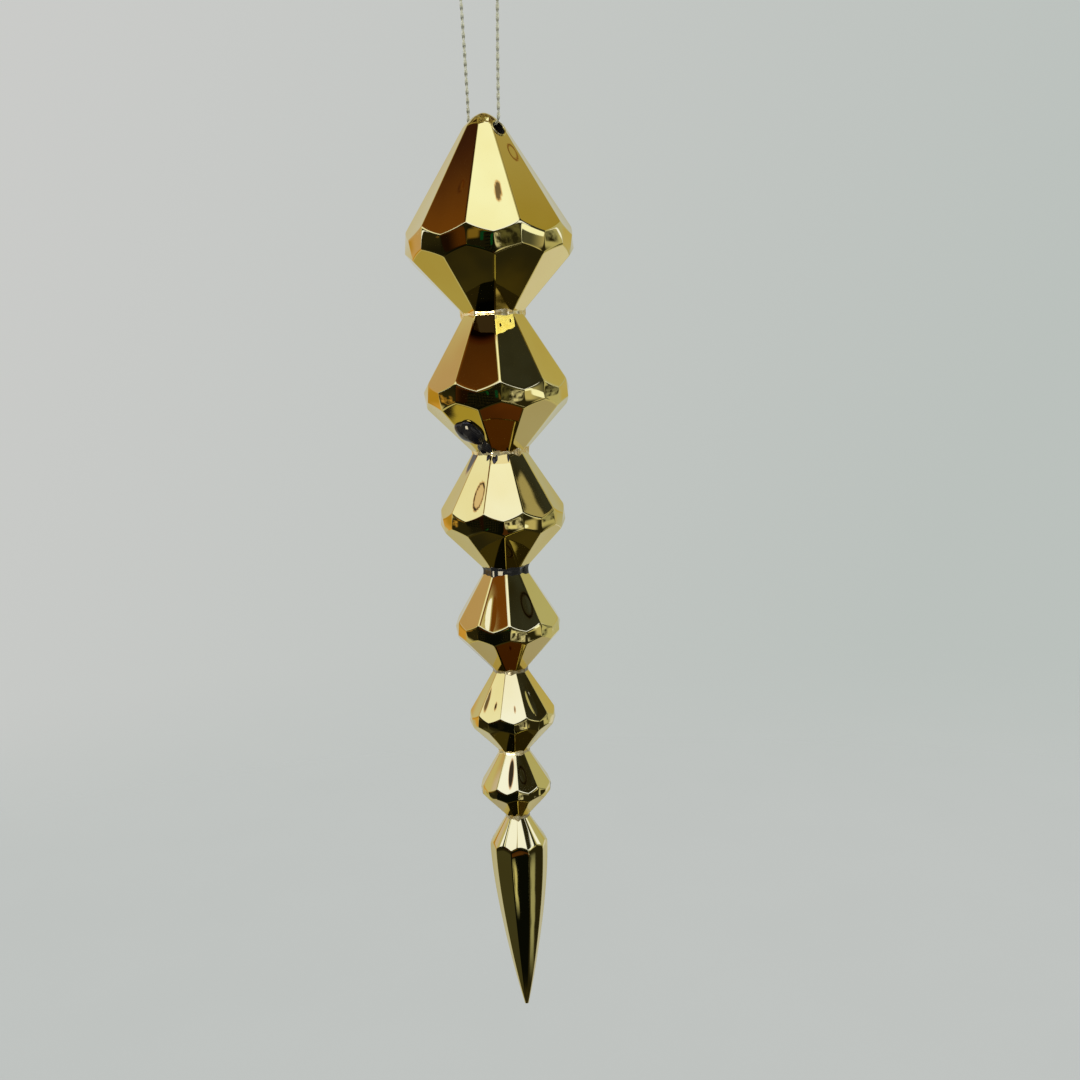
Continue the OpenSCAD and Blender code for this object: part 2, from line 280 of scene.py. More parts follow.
def knot_wrap():
    """The line of a coil that is wound along X and bulges in its middle."""
    t = np.linspace(0, 1, WRAP_POINTS)
    angle = 2 * math.pi * KNOT_TURNS * t
    radius = WRAP_R * (1 - WRAP_BULGE + WRAP_BULGE * np.sin(math.pi * t))
    along = (t - 0.5) * WRAP_LONG
    return np.stack([along, radius * np.cos(angle), KNOT_Z + radius * np.sin(angle)], axis=1)


def tail_line(lean):
    """A tail that leaves the knot at a lean and curls a little at its end."""
    t = np.linspace(0, 1, TAIL_POINTS)
    reach = (KNOT_HIGH.z - KNOT_Z - TAIL_SPARE) / math.cos(TAIL_LEAN) * t
    curl = TAIL_CURL * np.sin(math.pi * t)
    return np.stack(
        [np.sin(lean) * reach, np.sin(lean / 3) * reach + curl, KNOT_Z + np.cos(lean) * reach],
        axis=1,
    )


def make_knot():
    """The coil, its two tails and the core that it is wound on, as one mesh."""
    lines = [knot_wrap(), tail_line(-TAIL_LEAN), tail_line(TAIL_LEAN)]
    along = np.linspace(-CORE_HALF, CORE_HALF, CORE_POINTS)
    core = np.stack([along, 0 * along, KNOT_Z + 0 * along], axis=1)
    strands = [strand for line in lines for strand in strand_lines(line)]
    parts = [tube(strand, STRAND_R * WRAP_SWELL, STRAND_SIDES) for strand in strands]
    parts.append(tube(core, CORE_R, CORE_SIDES))
    knot = mesh_object("overhand_knot", *joined(parts))
    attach(knot, "thread_loop")
    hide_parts("thread_knot")
    return knot


knot = make_knot()
print("knot from", round(KNOT_LOW.z / MM, 2), "to", round(KNOT_HIGH.z / MM, 2), "mm")

# %% [markdown]
# ## Facets
# Each gem has ten crown facets over a band of twenty small ones over ten pavilion facets. On a moulded
# piece no facet is truly flat: each is dished, because the plastic shrinks behind it, and every edge is a
# little round. A mirror finish shows both at once, so both are in the mesh and not in a bump.
# A ring of facets is written as one rule: the radius at an azimuth, for a radius at its corners.

# %% Measures of a gem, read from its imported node
SIDES = 10
STEP = 2 * math.pi / SIDES
FLAT = math.cos(STEP / 2)
LEVEL_DIGITS = 2
RING_MARGIN = 0.02 * MM


def corner_rings(node):
    """Level, radius and turn of each ring of outer corners of a node, from the top down."""
    form = bmesh.new()
    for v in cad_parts[node].data.vertices:
        form.verts.new(v.co)
    hull = bmesh.ops.convex_hull(form, input=form.verts)
    outer = {g for g in hull["geom"] if isinstance(g, bmesh.types.BMVert)}
    spots = np.array([v.co for v in outer if v.link_faces])
    form.free()
    rings = []
    levels = np.round(spots[:, 2] / MM, LEVEL_DIGITS)
    for level in sorted(set(levels), reverse=True):
        ring = spots[levels == level]
        radius = np.hypot(ring[:, 0], ring[:, 1])
        widest = ring[radius > radius.max() - RING_MARGIN]
        turns = np.arctan2(widest[:, 1], widest[:, 0]) % STEP
        rings.append((level * MM, radius.max(), float(np.median(turns))))
    return rings


GEMS = ["top_drop", "gem_2", "gem_3", "gem_4", "gem_5", "gem_6"]
rings = {node: corner_rings(node) for node in GEMS + ["spike_point"]}
for node, found in rings.items():
    widest = max(r for _, r, _ in found)
    print(node, "is", round(2 * widest / MM, 1), "mm across, with", len(found), "rings of corners")

# %% One rule for a ring of facets
EDGE_SOFT = 0.18 * MM
ROUNDER = {"gem_2": 0.3 * MM, "gem_4": 0.3 * MM}


def soft_min(a, b, soft=EDGE_SOFT):
    """The smaller of two radii, rounded where they cross."""
    near = np.clip(1 - np.abs(a - b) / soft, 0, 1)
    return np.minimum(a, b) - soft * near**2 / 4


def facet_ring(azimuth, edge, corner_r, curve, soft=EDGE_SOFT):
    """Radius of a ring of ten facets. Edges are at the azimuth edge; curve is a facet's curvature across."""
    half = STEP / 2
    offset = (azimuth - edge) % STEP - half

    def facet(off):
        across = corner_r * math.cos(half) * np.tan(off)
        dish = curve / 2 * ((corner_r * math.sin(half)) ** 2 - across**2)
        return corner_r * math.cos(half) / np.cos(off) - dish

    return soft_min(facet(offset), facet(STEP - np.abs(offset)), soft)


# %% The band's flats
BAND_SOFT = 0.05 * MM


def band_ring(azimuth, edge, r_edge, r_between):
    """Radius of twenty flats whose corners are in turn at one radius and at another."""
    flat = STEP / 2
    place = (azimuth - edge) % STEP
    first = place < flat
    off = np.where(first, place, STEP - place)

    def chord(angle, start, end):
        return math.sin(flat) / (np.sin(flat - angle) / start + np.sin(angle) / end)

    own = chord(off, r_edge, r_between)
    over_edge = chord(-off, r_edge, r_between)
    over_between = chord(2 * flat - off, r_edge, r_between)
    return soft_min(own, np.where(off < flat / 2, over_edge, over_between), BAND_SOFT)


# %% Where two surfaces meet, and how rows of points are spaced
HALVINGS = 40


def meeting(upper, lower, top, bottom):
    """Level at each azimuth where the upper surface comes out to the lower one."""
    high, low = np.broadcast_to(top, bottom.shape).copy(), bottom.copy()
    for _ in range(HALVINGS):
        middle = (high + low) / 2
        inside = upper(middle) < lower(middle)
        low = np.where(inside, low, middle)
        high = np.where(inside, middle, high)
    return (high + low) / 2


def eased(count, power=2.0):
    """Steps from 0 to 1 that crowd towards both ends."""
    t = np.linspace(0, 1, count + 1)
    return np.where(t < 0.5, (2 * t) ** power / 2, 1 - (2 - 2 * t) ** power / 2)


# %% [markdown]
# ## Sink marks
# Where the plastic is thick it shrinks most, and leaves a shallow oval hollow in a facet. It is a few
# hundredths of a millimetre deep, but a mirror shows it as an oval that reflects another part of the room.
# Some of them are also painted amber to nearly black, over the whole mark or along its rim: a painted dark
# reflection on the gold, and a mark of depth 0 is only that. A mark is told by its facet's azimuth in
# degrees, mm to the side, mm above the facet's corners, half width, half height and depth in mm, and how
# strongly its core and its rim are painted dark.

# %% Sink marks
Mark = namedtuple("Mark", "facet aside above wide tall depth core rim", defaults=(0.0, 0.0))
SINKS = {
    "top_drop": [
        Mark(-36, 1.7, 6.8, 0.85, 2.7, 0.03, core=0.9), Mark(-72, 2.0, 8.3, 0.6, 1.6, 0.02, rim=0.4),
        Mark(0, 1.0, 16.2, 1.2, 2.1, 0.02, rim=0.8), Mark(36, 1, 8, 1.8, 5, 0.04),
    ],
    "gem_2": [Mark(-54, 0, 17, 8, 9, 0, core=1), Mark(90, 0, 4, 1.5, 4, 0.05)],
    "gem_3": [
        Mark(-72, 1.3, 3.8, 1.4, 3.4, 0.1, core=0.35, rim=1), Mark(-108, 0.3, 12.6, 1.9, 4.4, 0, core=1),
        Mark(144, -0.8, 3.6, 1.5, 3.2, 0.05),
    ],
    "gem_4": [
        Mark(-18, 1.3, 4.2, 1.4, 3.0, 0.03, rim=0.9), Mark(-54, -1.3, 2.2, 1.2, 4.2, 0.05),
        Mark(126, 1, 4, 1.2, 3, 0.05),
    ],
    "gem_5": [
        Mark(0, -0.7, 3, 0.9, 3.1, 0.14), Mark(-72, 0.6, 2.6, 0.3, 1.0, 0.02, core=1),
        Mark(-36, 0.1, 2, 0.2, 0.9, 0.02, core=0.8), Mark(-72, -2.2, 4.0, 0.7, 3.2, 0.05, core=0.9),
    ],
    "gem_6": [Mark(-54, 0.5, 3.6, 0.72, 3.5, 0.03, core=1), Mark(-18, -0.7, 3.1, 1.0, 2.1, 0.02, rim=0.9)],
}
print("sink marks", sum(len(marks) for marks in SINKS.values()))

# %% How far a point is inside a mark, and how strongly it is painted dark there
RIM_AT = 0.25
RIM_WIDTH = 0.18
RIM_FULL = 1.7
CORE_FULL = 2.5


def inside_mark(azimuth, flat_r, height, mark):
    """1 in the middle of an oval mark, falling to 0 at its outline. It stays on its facet."""
    across = flat_r * np.sin(azimuth - math.radians(mark.facet)) / MM - mark.aside
    on_facet = np.cos(azimuth - math.radians(mark.facet)) > FLAT
    oval = 1 - (across / mark.wide) ** 2 - ((height / MM - mark.above) / mark.tall) ** 2
    return np.clip(oval, 0, 1) * on_facet


def reflection_paint(node, azimuth, level, radius):
    """How strongly the marks of a gem are painted dark as a painted reflection, from 0 to 1."""
    share = 0 * azimuth
    for mark in SINKS[node]:
        inside = inside_mark(azimuth, radius, level - rings[node][-5][0], mark)
        rim = np.exp(-(((inside - RIM_AT) / RIM_WIDTH) ** 2)) * (inside > 0)
        for amount, part in ((mark.core, CORE_FULL * inside), (mark.rim, RIM_FULL * rim)):
            share = np.maximum(share, amount * np.clip(part, 0, 1))
    return share


# %% [markdown]
# ## Gems
# A gem could be cut from a ball with planes, but its facets would be flat and its edges sharp. Here it is
# lathed: rows of points go down it, and each point's radius is the smallest that the crown, the band and
# the pavilion allow at its azimuth. Rows crowd where surfaces meet, so that the soft edges are smooth.
# The top drop also has a blunt rounded nose.

# %% Rows of points round an axis
SECTOR_STEPS = 20
SECTOR_CROWDING = 1.8


def azimuths(edge):
    """Azimuths all round, crowded at every half facet, where the edges are."""
    sector = eased(SECTOR_STEPS, SECTOR_CROWDING)[:-1] * STEP / 2
    return np.concatenate([edge + k * STEP / 2 + sector for k in range(2 * SIDES)])


def rows_between(top, bottom, steps):
    """Levels from one line round the gem down to another, without the last."""
    return [top + (bottom - top) * t for t in steps[:-1]]


def lathe_mesh(name, azimuth, levels, radii, tip=None):
    """A closed mesh from rows of levels and radii, with a middle point at each end."""
    count = len(azimuth)
    verts = [
        np.stack([r * np.cos(azimuth), r * np.sin(azimuth), np.broadcast_to(z, count)], axis=1)
        for z, r in zip(levels, radii)
    ]
    verts.append([(0, 0, tip or float(np.mean(levels[0]))), (0, 0, float(np.mean(levels[-1])))])
    faces = grid_faces(len(levels), count)
    top_point, last = len(levels) * count, (len(levels) - 1) * count
    for k in range(count):
        faces.append((k, (k + 1) % count, top_point))
        faces.append((last + (k + 1) % count, last + k, top_point + 1))
    return mesh_object(name, np.vstack(verts), faces)


# %% A gem's surfaces
CROWN_DISH = 0.12
PAVILION_DISH = 0.15
BELT_IN = 0.985
SAME_TURN = math.radians(0.05)


def gem_surfaces(node, azimuth):
    """The crown, band and pavilion of a gem, as functions of level.

    The last five rings of its node are the crown's corners, three rings of the band, and the lower neck."""
    corner, vee, gable, belt, low = rings[node][-5:]
    turn = corner[2]
    up = [ring for ring in rings[node][:-5] if abs(ring[2] - turn) < SAME_TURN][-1]
    slope = (corner[1] - up[1]) / (up[0] - corner[0])
    fall = (belt[1] - low[1]) / (belt[0] - low[0])
    curve = PAVILION_DISH / corner[1]
    soft = ROUNDER.get(node, EDGE_SOFT)

    def crown(z):
        flat_r = corner[1] + (corner[0] - z) * slope
        height = z - corner[0]
        marks = sum(m.depth * MM * inside_mark(azimuth, flat_r, height, m) for m in SINKS[node])
        return facet_ring(azimuth, turn, flat_r, CROWN_DISH / corner[1], soft) - marks

    def band(z):
        at_turn = corner[1] + (gable[1] - corner[1]) * (corner[0] - z) / (corner[0] - gable[0])
        between = vee[1] + (BELT_IN * belt[1] - vee[1]) * (vee[0] - z) / (vee[0] - belt[0])
        return band_ring(azimuth, turn, at_turn, between)

    def pavilion(z):
        flat_r = low[1] + (z - low[0]) * fall
        proud = curve / 2 * (flat_r * math.sin(STEP / 2)) ** 2 / FLAT
        return facet_ring(azimuth, turn + STEP / 2, flat_r + proud, curve)

    return crown, band, pavilion


# %% The dome on the top drop
DOME_WIDTH = 2.4
DOME_POWER = 0.58
DOME_DEPTH = 2.4
DOME_FLARE = 1.2
DOME_ROWS = 14
DOME_START = 0.04
DOME_SOFT = 0.3 * MM


def dome(z):
    """Radius of the drop's blunt nose at a level: it opens fast, then runs outside the crown."""
    depth = np.maximum(APEX.z - z, 0) / MM
    nose = DOME_WIDTH * np.minimum(depth, DOME_DEPTH) ** DOME_POWER
    return (nose + DOME_FLARE * np.maximum(depth - DOME_DEPTH, 0)) * MM


# %% The gems
CROWN_ROWS = 44
BAND_ROWS = 12
PAVILION_ROWS = 22
ROW_CROWDING = 1.6


def make_gem(node, name):
    """A gem, or the top drop with its dome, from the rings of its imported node."""
    found = rings[node]
    azimuth = azimuths(found[-5][2])
    crown, band, pavilion = gem_surfaces(node, azimuth)
    top, low = found[0][0] + 0 * azimuth, found[-1][0] + 0 * azimuth
    middle = (found[-4][0] + found[-3][0]) / 2 + 0 * azimuth
    crown_foot = meeting(crown, band, top, middle)
    band_foot = -meeting(lambda z: pavilion(-z), lambda z: band(-z), -low, -middle)
    levels, rows = [], CROWN_ROWS
    domed = node == "top_drop"
    if domed:
        crown_top = meeting(dome, crown, top, crown_foot)
        dome_steps = np.linspace(DOME_START, 1, DOME_ROWS + 1) ** ROW_CROWDING
        levels = rows_between(top, crown_top, dome_steps)
        top, rows = crown_top, 2 * CROWN_ROWS
    levels += rows_between(top, crown_foot, eased(rows, ROW_CROWDING))
    levels += rows_between(crown_foot, band_foot, eased(BAND_ROWS, ROW_CROWDING))
    levels += rows_between(band_foot, low, eased(PAVILION_ROWS)) + [low]
    soft = ROUNDER.get(node, EDGE_SOFT)
    radii = [soft_min(soft_min(crown(z), band(z), soft), pavilion(z)) for z in levels]
    if domed:
        radii = [soft_min(r, dome(z), DOME_SOFT) for r, z in zip(radii, levels)]
    gem = lathe_mesh(name, azimuth, levels, radii, APEX.z if domed else None)
    # The sink marks' painted dark reflection, stored for the gold material.
    reflection_shade = [reflection_paint(node, azimuth, z, r) for z, r in zip(levels, radii)]
    point_values(gem.data, "reflection_paint", np.concatenate(reflection_shade + [[0, 0]]))
    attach(gem, "icicle")
    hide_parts(node)
    return gem


gem_pieces = [make_gem(node, "faceted_" + node) for node in GEMS]
print("gem corners", [len(g.data.vertices) for g in gem_pieces])

# %% [markdown]
# ## Spike
# The spike has a short crown too, but its ten long flats follow a curve down to a blunt tip. Straight runs
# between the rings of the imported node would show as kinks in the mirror, so one smooth curve is fitted to
# the radius of those rings.

# %% The spike
SPIKE_CROWN_DISH = -0.55
SPIKE_DISH = 0.12
SPIKE_SOFT = 0.12 * MM
SPIKE_ROWS = 70
TIP_R = 0.8 * MM
TIP_SHORT = 0.8 * MM
TIP_LEAST = 0.02 * MM
CURVE_DEGREE = 4
CROWN_OVERLAP = 2 * MM


def spike_crown(azimuth):
    """The spike's crown as a function of level."""
    (neck_z, neck_r, turn), (flat_z, flat_r, _), (_, edge_r, _) = rings["spike_point"][:3]
    slope = (flat_r - neck_r) / (neck_z - flat_z)

    def crown(z):
        return facet_ring(azimuth, turn, neck_r + (neck_z - z) * slope, SPIKE_CROWN_DISH / edge_r)

    return crown


def make_spike():
    """The spike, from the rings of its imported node: a short crown, then the long body."""
    (neck_z, _, turn), _, (edge_z, edge_r, edge_turn) = rings["spike_point"][:3]
    azimuth = azimuths(turn)
    body_z, body_r, _ = np.array(rings["spike_point"][2:]).T
    curve = np.polyfit(body_z - edge_z, body_r, CURVE_DEGREE)
    crown = spike_crown(azimuth)

    def body(z):
        corner_r = np.polyval(curve, z - edge_z)
        return facet_ring(azimuth, edge_turn, corner_r, SPIKE_DISH / edge_r, SPIKE_SOFT)

    def cap(z):
        height = z - low
        ball = np.sqrt(np.maximum(TIP_R**2 - (TIP_R - height) ** 2, 0))
        return np.where(height < TIP_R, ball, edge_r)

    top, low = neck_z + 0 * azimuth, body_z[-1] + TIP_SHORT + 0 * azimuth
    foot = meeting(crown, body, top, edge_z - CROWN_OVERLAP + 0 * azimuth)
    levels = rows_between(top, foot, eased(CROWN_ROWS))
    body_steps = 1 - np.linspace(1, 0, SPIKE_ROWS + 1) ** ROW_CROWDING
    levels += rows_between(foot, low, body_steps) + [low]
    radii = [np.maximum(np.minimum(soft_min(crown(z), body(z)), cap(z)), TIP_LEAST) for z in levels]
    spike = lathe_mesh("faceted_spike", azimuth, levels, radii)
    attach(spike, "icicle")
    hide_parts("spike_point")
    return spike


spike = make_spike()
print("spike corners", len(spike.data.vertices))

# %% [markdown]
# ## Cross hole and gate mark
# The thread passes through a hole drilled below the rounded top. A boolean cuts it, its rim gets a thin
# rolled lip of plating, and its wall is unplated plastic, because plating hardly reaches inside a bore. The
# wall
# is painted nearly black: painted shade for the dark inside of the hole.
# The gate mark is the little pit on the dome where the plastic was let into the mould.

# %% The cross hole
HOLE_R = 1.7 * MM
HOLE_Z = APEX.z - 4.3 * MM
BORE_SIDES = 72
CUTTER_REACH = 12 * MM
WALL_MARGIN = 1.02
WALL_TILT = 0.05
SHARP = math.radians(40)
top_piece = gem_pieces[0]


def drill(piece):
    """Cuts the cross hole, gives its wall the second material and marks its rims as sharp."""
    line = np.array([(-CUTTER_REACH, 0, HOLE_Z), (CUTTER_REACH, 0, HOLE_Z)])
    cutter = mesh_object("cutter", *tube(line, HOLE_R, BORE_SIDES))
    cut = piece.modifiers.new("bore", "BOOLEAN")
    cut.operation = "DIFFERENCE"
    cut.object = cutter
    view = bpy.context.evaluated_depsgraph_get()
    drilled = bpy.data.meshes.new_from_object(piece.evaluated_get(view))
    piece.modifiers.clear()
    piece.data = drilled
    bpy.data.objects.remove(cutter)
    for face in drilled.polygons:
        off_axis = math.hypot(face.center.y, face.center.z - HOLE_Z)
        face.material_index = int(off_axis < HOLE_R * WALL_MARGIN and abs(face.normal.x) < WALL_TILT)
    shape = bmesh.new()
    shape.from_mesh(drilled)
    for edge in shape.edges:
        edge.smooth = not (edge.is_manifold and edge.calc_face_angle(0) > SHARP)
    shape.to_mesh(drilled)
    shape.free()


drill(top_piece)
print("drop corners after drilling", len(top_piece.data.vertices))

# %% The lip round each mouth of the bore
LIP_R = 0.26 * MM
LIP_SIDES = 8
MOUTH_REACH = 20 * MM


def ring_tube(line, radius, sides):
    """Corners and faces of a tube along a closed line of points."""
    tangent = np.roll(line, -1, axis=0) - np.roll(line, 1, axis=0)
    tangent /= np.linalg.norm(tangent, axis=1)[:, None]
    out = line - line.mean(axis=0)
    side = out - tangent * (out * tangent).sum(axis=1)[:, None]
    side /= np.linalg.norm(side, axis=1)[:, None]
    verts = tube_corners(line, side, np.cross(tangent, side), radius, sides)
    return verts, grid_faces(len(line), sides, looped=True)


def mouth_line(side):
    """The line where the bore comes out of the crown on one side."""
    turn = np.linspace(0, 2 * math.pi, BORE_SIDES, endpoint=False)
    y, z = HOLE_R * np.cos(turn), HOLE_Z + HOLE_R * np.sin(turn)
    near, far = 0 * turn, 0 * turn + MOUTH_REACH
    for _ in range(HALVINGS):
        x = (near + far) / 2
        azimuth = np.arctan2(y, side * x) % (2 * math.pi)
        crown, _, _ = gem_surfaces("top_drop", azimuth)
        outside = np.hypot(x, y) > soft_min(crown(z), dome(z), DOME_SOFT)
        near, far = np.where(outside, near, x), np.where(outside, x, far)
    return np.stack([side * x, y, z], axis=1)


lips = [ring_tube(mouth_line(side), LIP_R, LIP_SIDES) for side in (1, -1)]
lip = mesh_object("hole_lip", *joined(lips))
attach(lip, "icicle")
print("lip corners", len(lip.data.vertices))

# %% The gate mark
GATE_AZIMUTH = math.radians(-27)
GATE_DEPTH = 2.3 * MM
GATE_R = 1.15 * MM
GATE_PIT = 0.42 * MM
GATE_PIT_R = 0.72
GATE_LIP_AT = 0.82
GATE_LIP_WIDTH = 0.12
GATE_LIP = 0.25
GATE_IN, GATE_DOWN = 0.6, 0.8


def polar(radius, azimuth, level):
    """The point at a radius, an azimuth and a level."""
    return radius * math.cos(azimuth), radius * math.sin(azimuth), level


def press_gate(piece):
    """Presses the small round gate mark into the dome."""
    level = APEX.z - GATE_DEPTH
    centre = Vector(polar(float(dome(level)), GATE_AZIMUTH, level))
    inward = Vector(polar(-GATE_IN, GATE_AZIMUTH, -GATE_DOWN))
    for v in piece.data.vertices:
        near = (v.co - centre).length / GATE_R
        if near < 1:
            rim = math.exp(-(((near - GATE_LIP_AT) / GATE_LIP_WIDTH) ** 2)) * GATE_LIP
            pit = max(0.0, 1 - (near / GATE_PIT_R) ** 4)
            v.co += inward * GATE_PIT * (pit - rim)


press_gate(top_piece)
print("gate mark", round(2 * GATE_R / MM, 1), "mm across")

# %% [markdown]
# ## Glue
# Each neck holds a bead of glue that was pressed out of the joint. A plain ring would look moulded, so the
# bead fills the angle between two gems and meets both walls in a hollow curve. It runs thick and thin, in a
# few waves that fit a whole number of times round it, and stands in lumps. One large dark drop lies under
# the band of the second gem, with drips below it. A yellow film under the first neck is a painted reflection:
# a thin sheet on the facet that stands for a bright patch that the mirror shows there.

# %% Glue beads
# A bead is told by its half height in mm, how dark it is from 0 to 1, and its lumps: azimuth and half width
# in degrees, and size in mm.
Bead = namedtuple("Bead", "half dark lumps")
BEADS = {
    1: Bead(0.36, 0, [(-17, 16, 0.4), (52, 11, 0.75), (22, 7, 0.2), (-132, 13, 0.7), (-75, 10, 0.15),
                      (150, 16, 0.4)]),
    2: Bead(0.42, 0, [(-45, 22, 0.1), (3, 9, 0.5), (50, 9, 0.4), (-150, 20, 0.4), (120, 14, 0.5)]),
    3: Bead(0.9, 1, [(-70, 24, 0.2), (-20, 14, 0.1), (30, 12, 0.2), (160, 20, 0.2)]),
    4: Bead(0.4, 0.8, [(-38, 8, 0.3), (40, 14, 0.2), (180, 20, 0.3)]),
    5: Bead(0.38, 0.4, [(-20, 16, 0.2), (60, 12, 0.3), (-120, 16, 0.3)]),
    6: Bead(0.38, 0.7, [(-38, 12, 0.35), (70, 16, 0.2)]),
}
BEAD_STEPS = 240
BEAD_ROWS = 17
BEAD_FULL = 0.62
BEAD_BULGE = 0.7
BEAD_SKIN = 0.05 * MM
BEAD_PROUD = 0.7
BEAD_TUCK = 8
BEAD_ROOT = 0.5 * MM
BEAD_PHASE = 1.7


def neck_walls(number, azimuth):
    """The pavilion above a neck and the crown below it, as functions of level."""
    _, _, above = gem_surfaces(GEMS[number - 1], azimuth)
    if number == len(GEMS):
        return above, spike_crown(azimuth)
    return above, gem_surfaces(GEMS[number], azimuth)[0]


def make_bead(number):
    """Glue that fills the angle between two gems and meets both walls in a hollow curve."""
    half, dark, lumps = BEADS[number]
    low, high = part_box(f"neck_glue_{number}")
    neck_z = (low.z + high.z) / 2
    azimuth = np.linspace(0, 2 * math.pi, BEAD_STEPS, endpoint=False)
    above, below = neck_walls(number, azimuth)
    phase = BEAD_PHASE * number
    wave, swell = 0 * azimuth, 0 * azimuth
    for times, shift, height in ((3, phase, 0.12), (7, -2 * phase, 0.12), (16, phase**2, 0.1)):
        wave += np.cos(times * azimuth + shift) * height
    for at, half_width, size in lumps:
        off = np.degrees(azimuth) - at
        swell += size * MM * np.exp(-((((off + 180) % 360 - 180) / half_width) ** 2))
    reach = half * MM * (1 + wave) + swell
    fill = BEAD_FULL + BEAD_BULGE * swell / reach
    neck_r = np.minimum(above(neck_z), below(neck_z))
    rise_up, rise_down = above(neck_z + reach) - neck_r, below(neck_z - reach) - neck_r
    levels, radii = [], []
    for v in np.linspace(-1, 1, BEAD_ROWS):
        rise = rise_up if v > 0 else rise_down
        middle = fill * (rise_up + rise_down) / 2 * (1 - v**2)
        levels.append(neck_z + v * reach)
        radii.append(neck_r + middle + rise * v**2 + BEAD_SKIN * (BEAD_PROUD - v**BEAD_TUCK))
    levels += [levels[-1], levels[0]]
    radii += [radii[-1] - BEAD_ROOT, radii[0] - BEAD_ROOT]
    verts = [
        polar(r, a, z)
        for level, radius in zip(levels, radii)
        for a, r, z in zip(azimuth, radius, level)
    ]
    bead = mesh_object(f"glue_bead_{number}", verts, grid_faces(len(levels), BEAD_STEPS, looped=True))
    point_values(bead.data, "dark", [dark] * len(verts))
    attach(bead, "icicle")
    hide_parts(f"neck_glue_{number}")
    return bead


beads = [make_bead(number) for number in BEADS]
print("glue beads", len(beads))

# %% The dark drop of stray glue
BLOB_AZIMUTH = math.radians(-76)
BLOB_ABOVE = 5.4 * MM
BLOB_LONG = 3.9 * MM
BLOB_WIDE = 3.1 * MM
BLOB_HIGH = 2.1 * MM
BLOB_LEAN = math.radians(40)
BLOB_SUNK = 0.1 * MM
CROWN, PAVILION = 0, 2
# Splashes under the drop: azimuth, mm above the gem's end, size. Drips on the next gem: azimuth, mm from
# the gem's end, half length, half width.
SPLASHES = [(-68, 2.6, 1.5), (-62, 1.5, 1.2), (-75, 1.0, 1.0)]
DRIPS = [(-63, -0.9, 0.9, 0.45), (-50, -1.5, 1.0, 0.55), (-46, -1.0, 1.0, 0.3), (-23, -1.1, 1.1, 0.28)]
SPLASH_LONG, SPLASH_HIGH = 1.7, 0.3
DRIP_HIGH = 0.35
# Lumps in a drop's outline: how many round it, their shift and their height.
LENS_LUMPS = [(3, 0.6, 0.07), (5, 2, 0.05)]
LENS_RINGS = 14
LENS_SIDES = 40
LENS_UNDER = 0.25
NEARBY = 0.02


def gem_point(node, part, azimuth, above):
    """A point on a gem's crown or pavilion, and its outward direction.

    above is counted from the gem's upper end on the crown, and from its lower end on the pavilion."""
    level = rings[node][-1 if part == PAVILION else 0][0] + above
    at = np.array([azimuth % (2 * math.pi), (azimuth + NEARBY) % (2 * math.pi)])
    surface = gem_surfaces(node, at)[part]
    spots = [Vector(polar(r, a, level)) for r, a in zip(surface(level + 0 * at), at)]
    higher = Vector(polar(surface(level + MM + 0 * at)[0], azimuth, level + MM))
    out = (spots[1] - spots[0]).cross(higher - spots[0]).normalized()
    return spots[0], out


def downhill(out):
    """The direction straight down along a surface that faces out."""
    return (Vector((0, 0, -1)) + out * out.z).normalized()


def lens(centre, out, along, long, wide, high):
    """Corners and faces of a smooth drop that lies on a surface."""
    across = out.cross(along).normalized()
    verts = []
    for i in range(1, LENS_RINGS):
        rise = math.pi * i / LENS_RINGS
        for k in range(LENS_SIDES):
            turn = 2 * math.pi * k / LENS_SIDES
            u, v, w = math.cos(turn) * math.sin(rise), math.sin(turn) * math.sin(rise), math.cos(rise)
            lump = 1
            for times, shift, height in LENS_LUMPS:
                lump += height * math.cos(times * turn + shift)
            spot = along * (u * long * lump) + across * (v * wide * lump)
            verts.append(centre + spot + out * (high * (w if w > 0 else LENS_UNDER * w)))
    faces = grid_faces(LENS_RINGS - 1, LENS_SIDES)
    count = len(verts)
    last = count - LENS_SIDES
    verts += [centre + out * high, centre - out * high * LENS_UNDER]
    for k in range(LENS_SIDES):
        m = (k + 1) % LENS_SIDES
        faces += [(m, k, count), (last + k, last + m, count + 1)]
    return verts, faces


def make_blob():
    """The dark drop, the splashes round it and the drips below it, as one mesh."""
    centre, out = gem_point("gem_2", PAVILION, BLOB_AZIMUTH, BLOB_ABOVE)
    along = (Matrix.Rotation(BLOB_LEAN, 3, out) @ downhill(out)).normalized()
    parts = [lens(centre - out * BLOB_SUNK, out, along, BLOB_LONG, BLOB_WIDE, BLOB_HIGH)]
    small = [
        ("gem_2", PAVILION, a, above, SPLASH_LONG * size, size, SPLASH_HIGH * size)
        for a, above, size in SPLASHES
    ]
    small += [("gem_3", CROWN, a, above, long, wide, DRIP_HIGH * wide) for a, above, long, wide in DRIPS]
    for node, part, azimuth, above, long, wide, high in small:
        spot, spot_out = gem_point(node, part, math.radians(azimuth), above * MM)
        parts.append(lens(spot, spot_out, downhill(spot_out), long * MM, wide * MM, high * MM))
    blob = mesh_object("dark_glue_drop", *joined(parts))
    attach(blob, "icicle")
    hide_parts("stray_glue")
    return blob


blob = make_blob()
print("dark drop corners", len(blob.data.vertices))

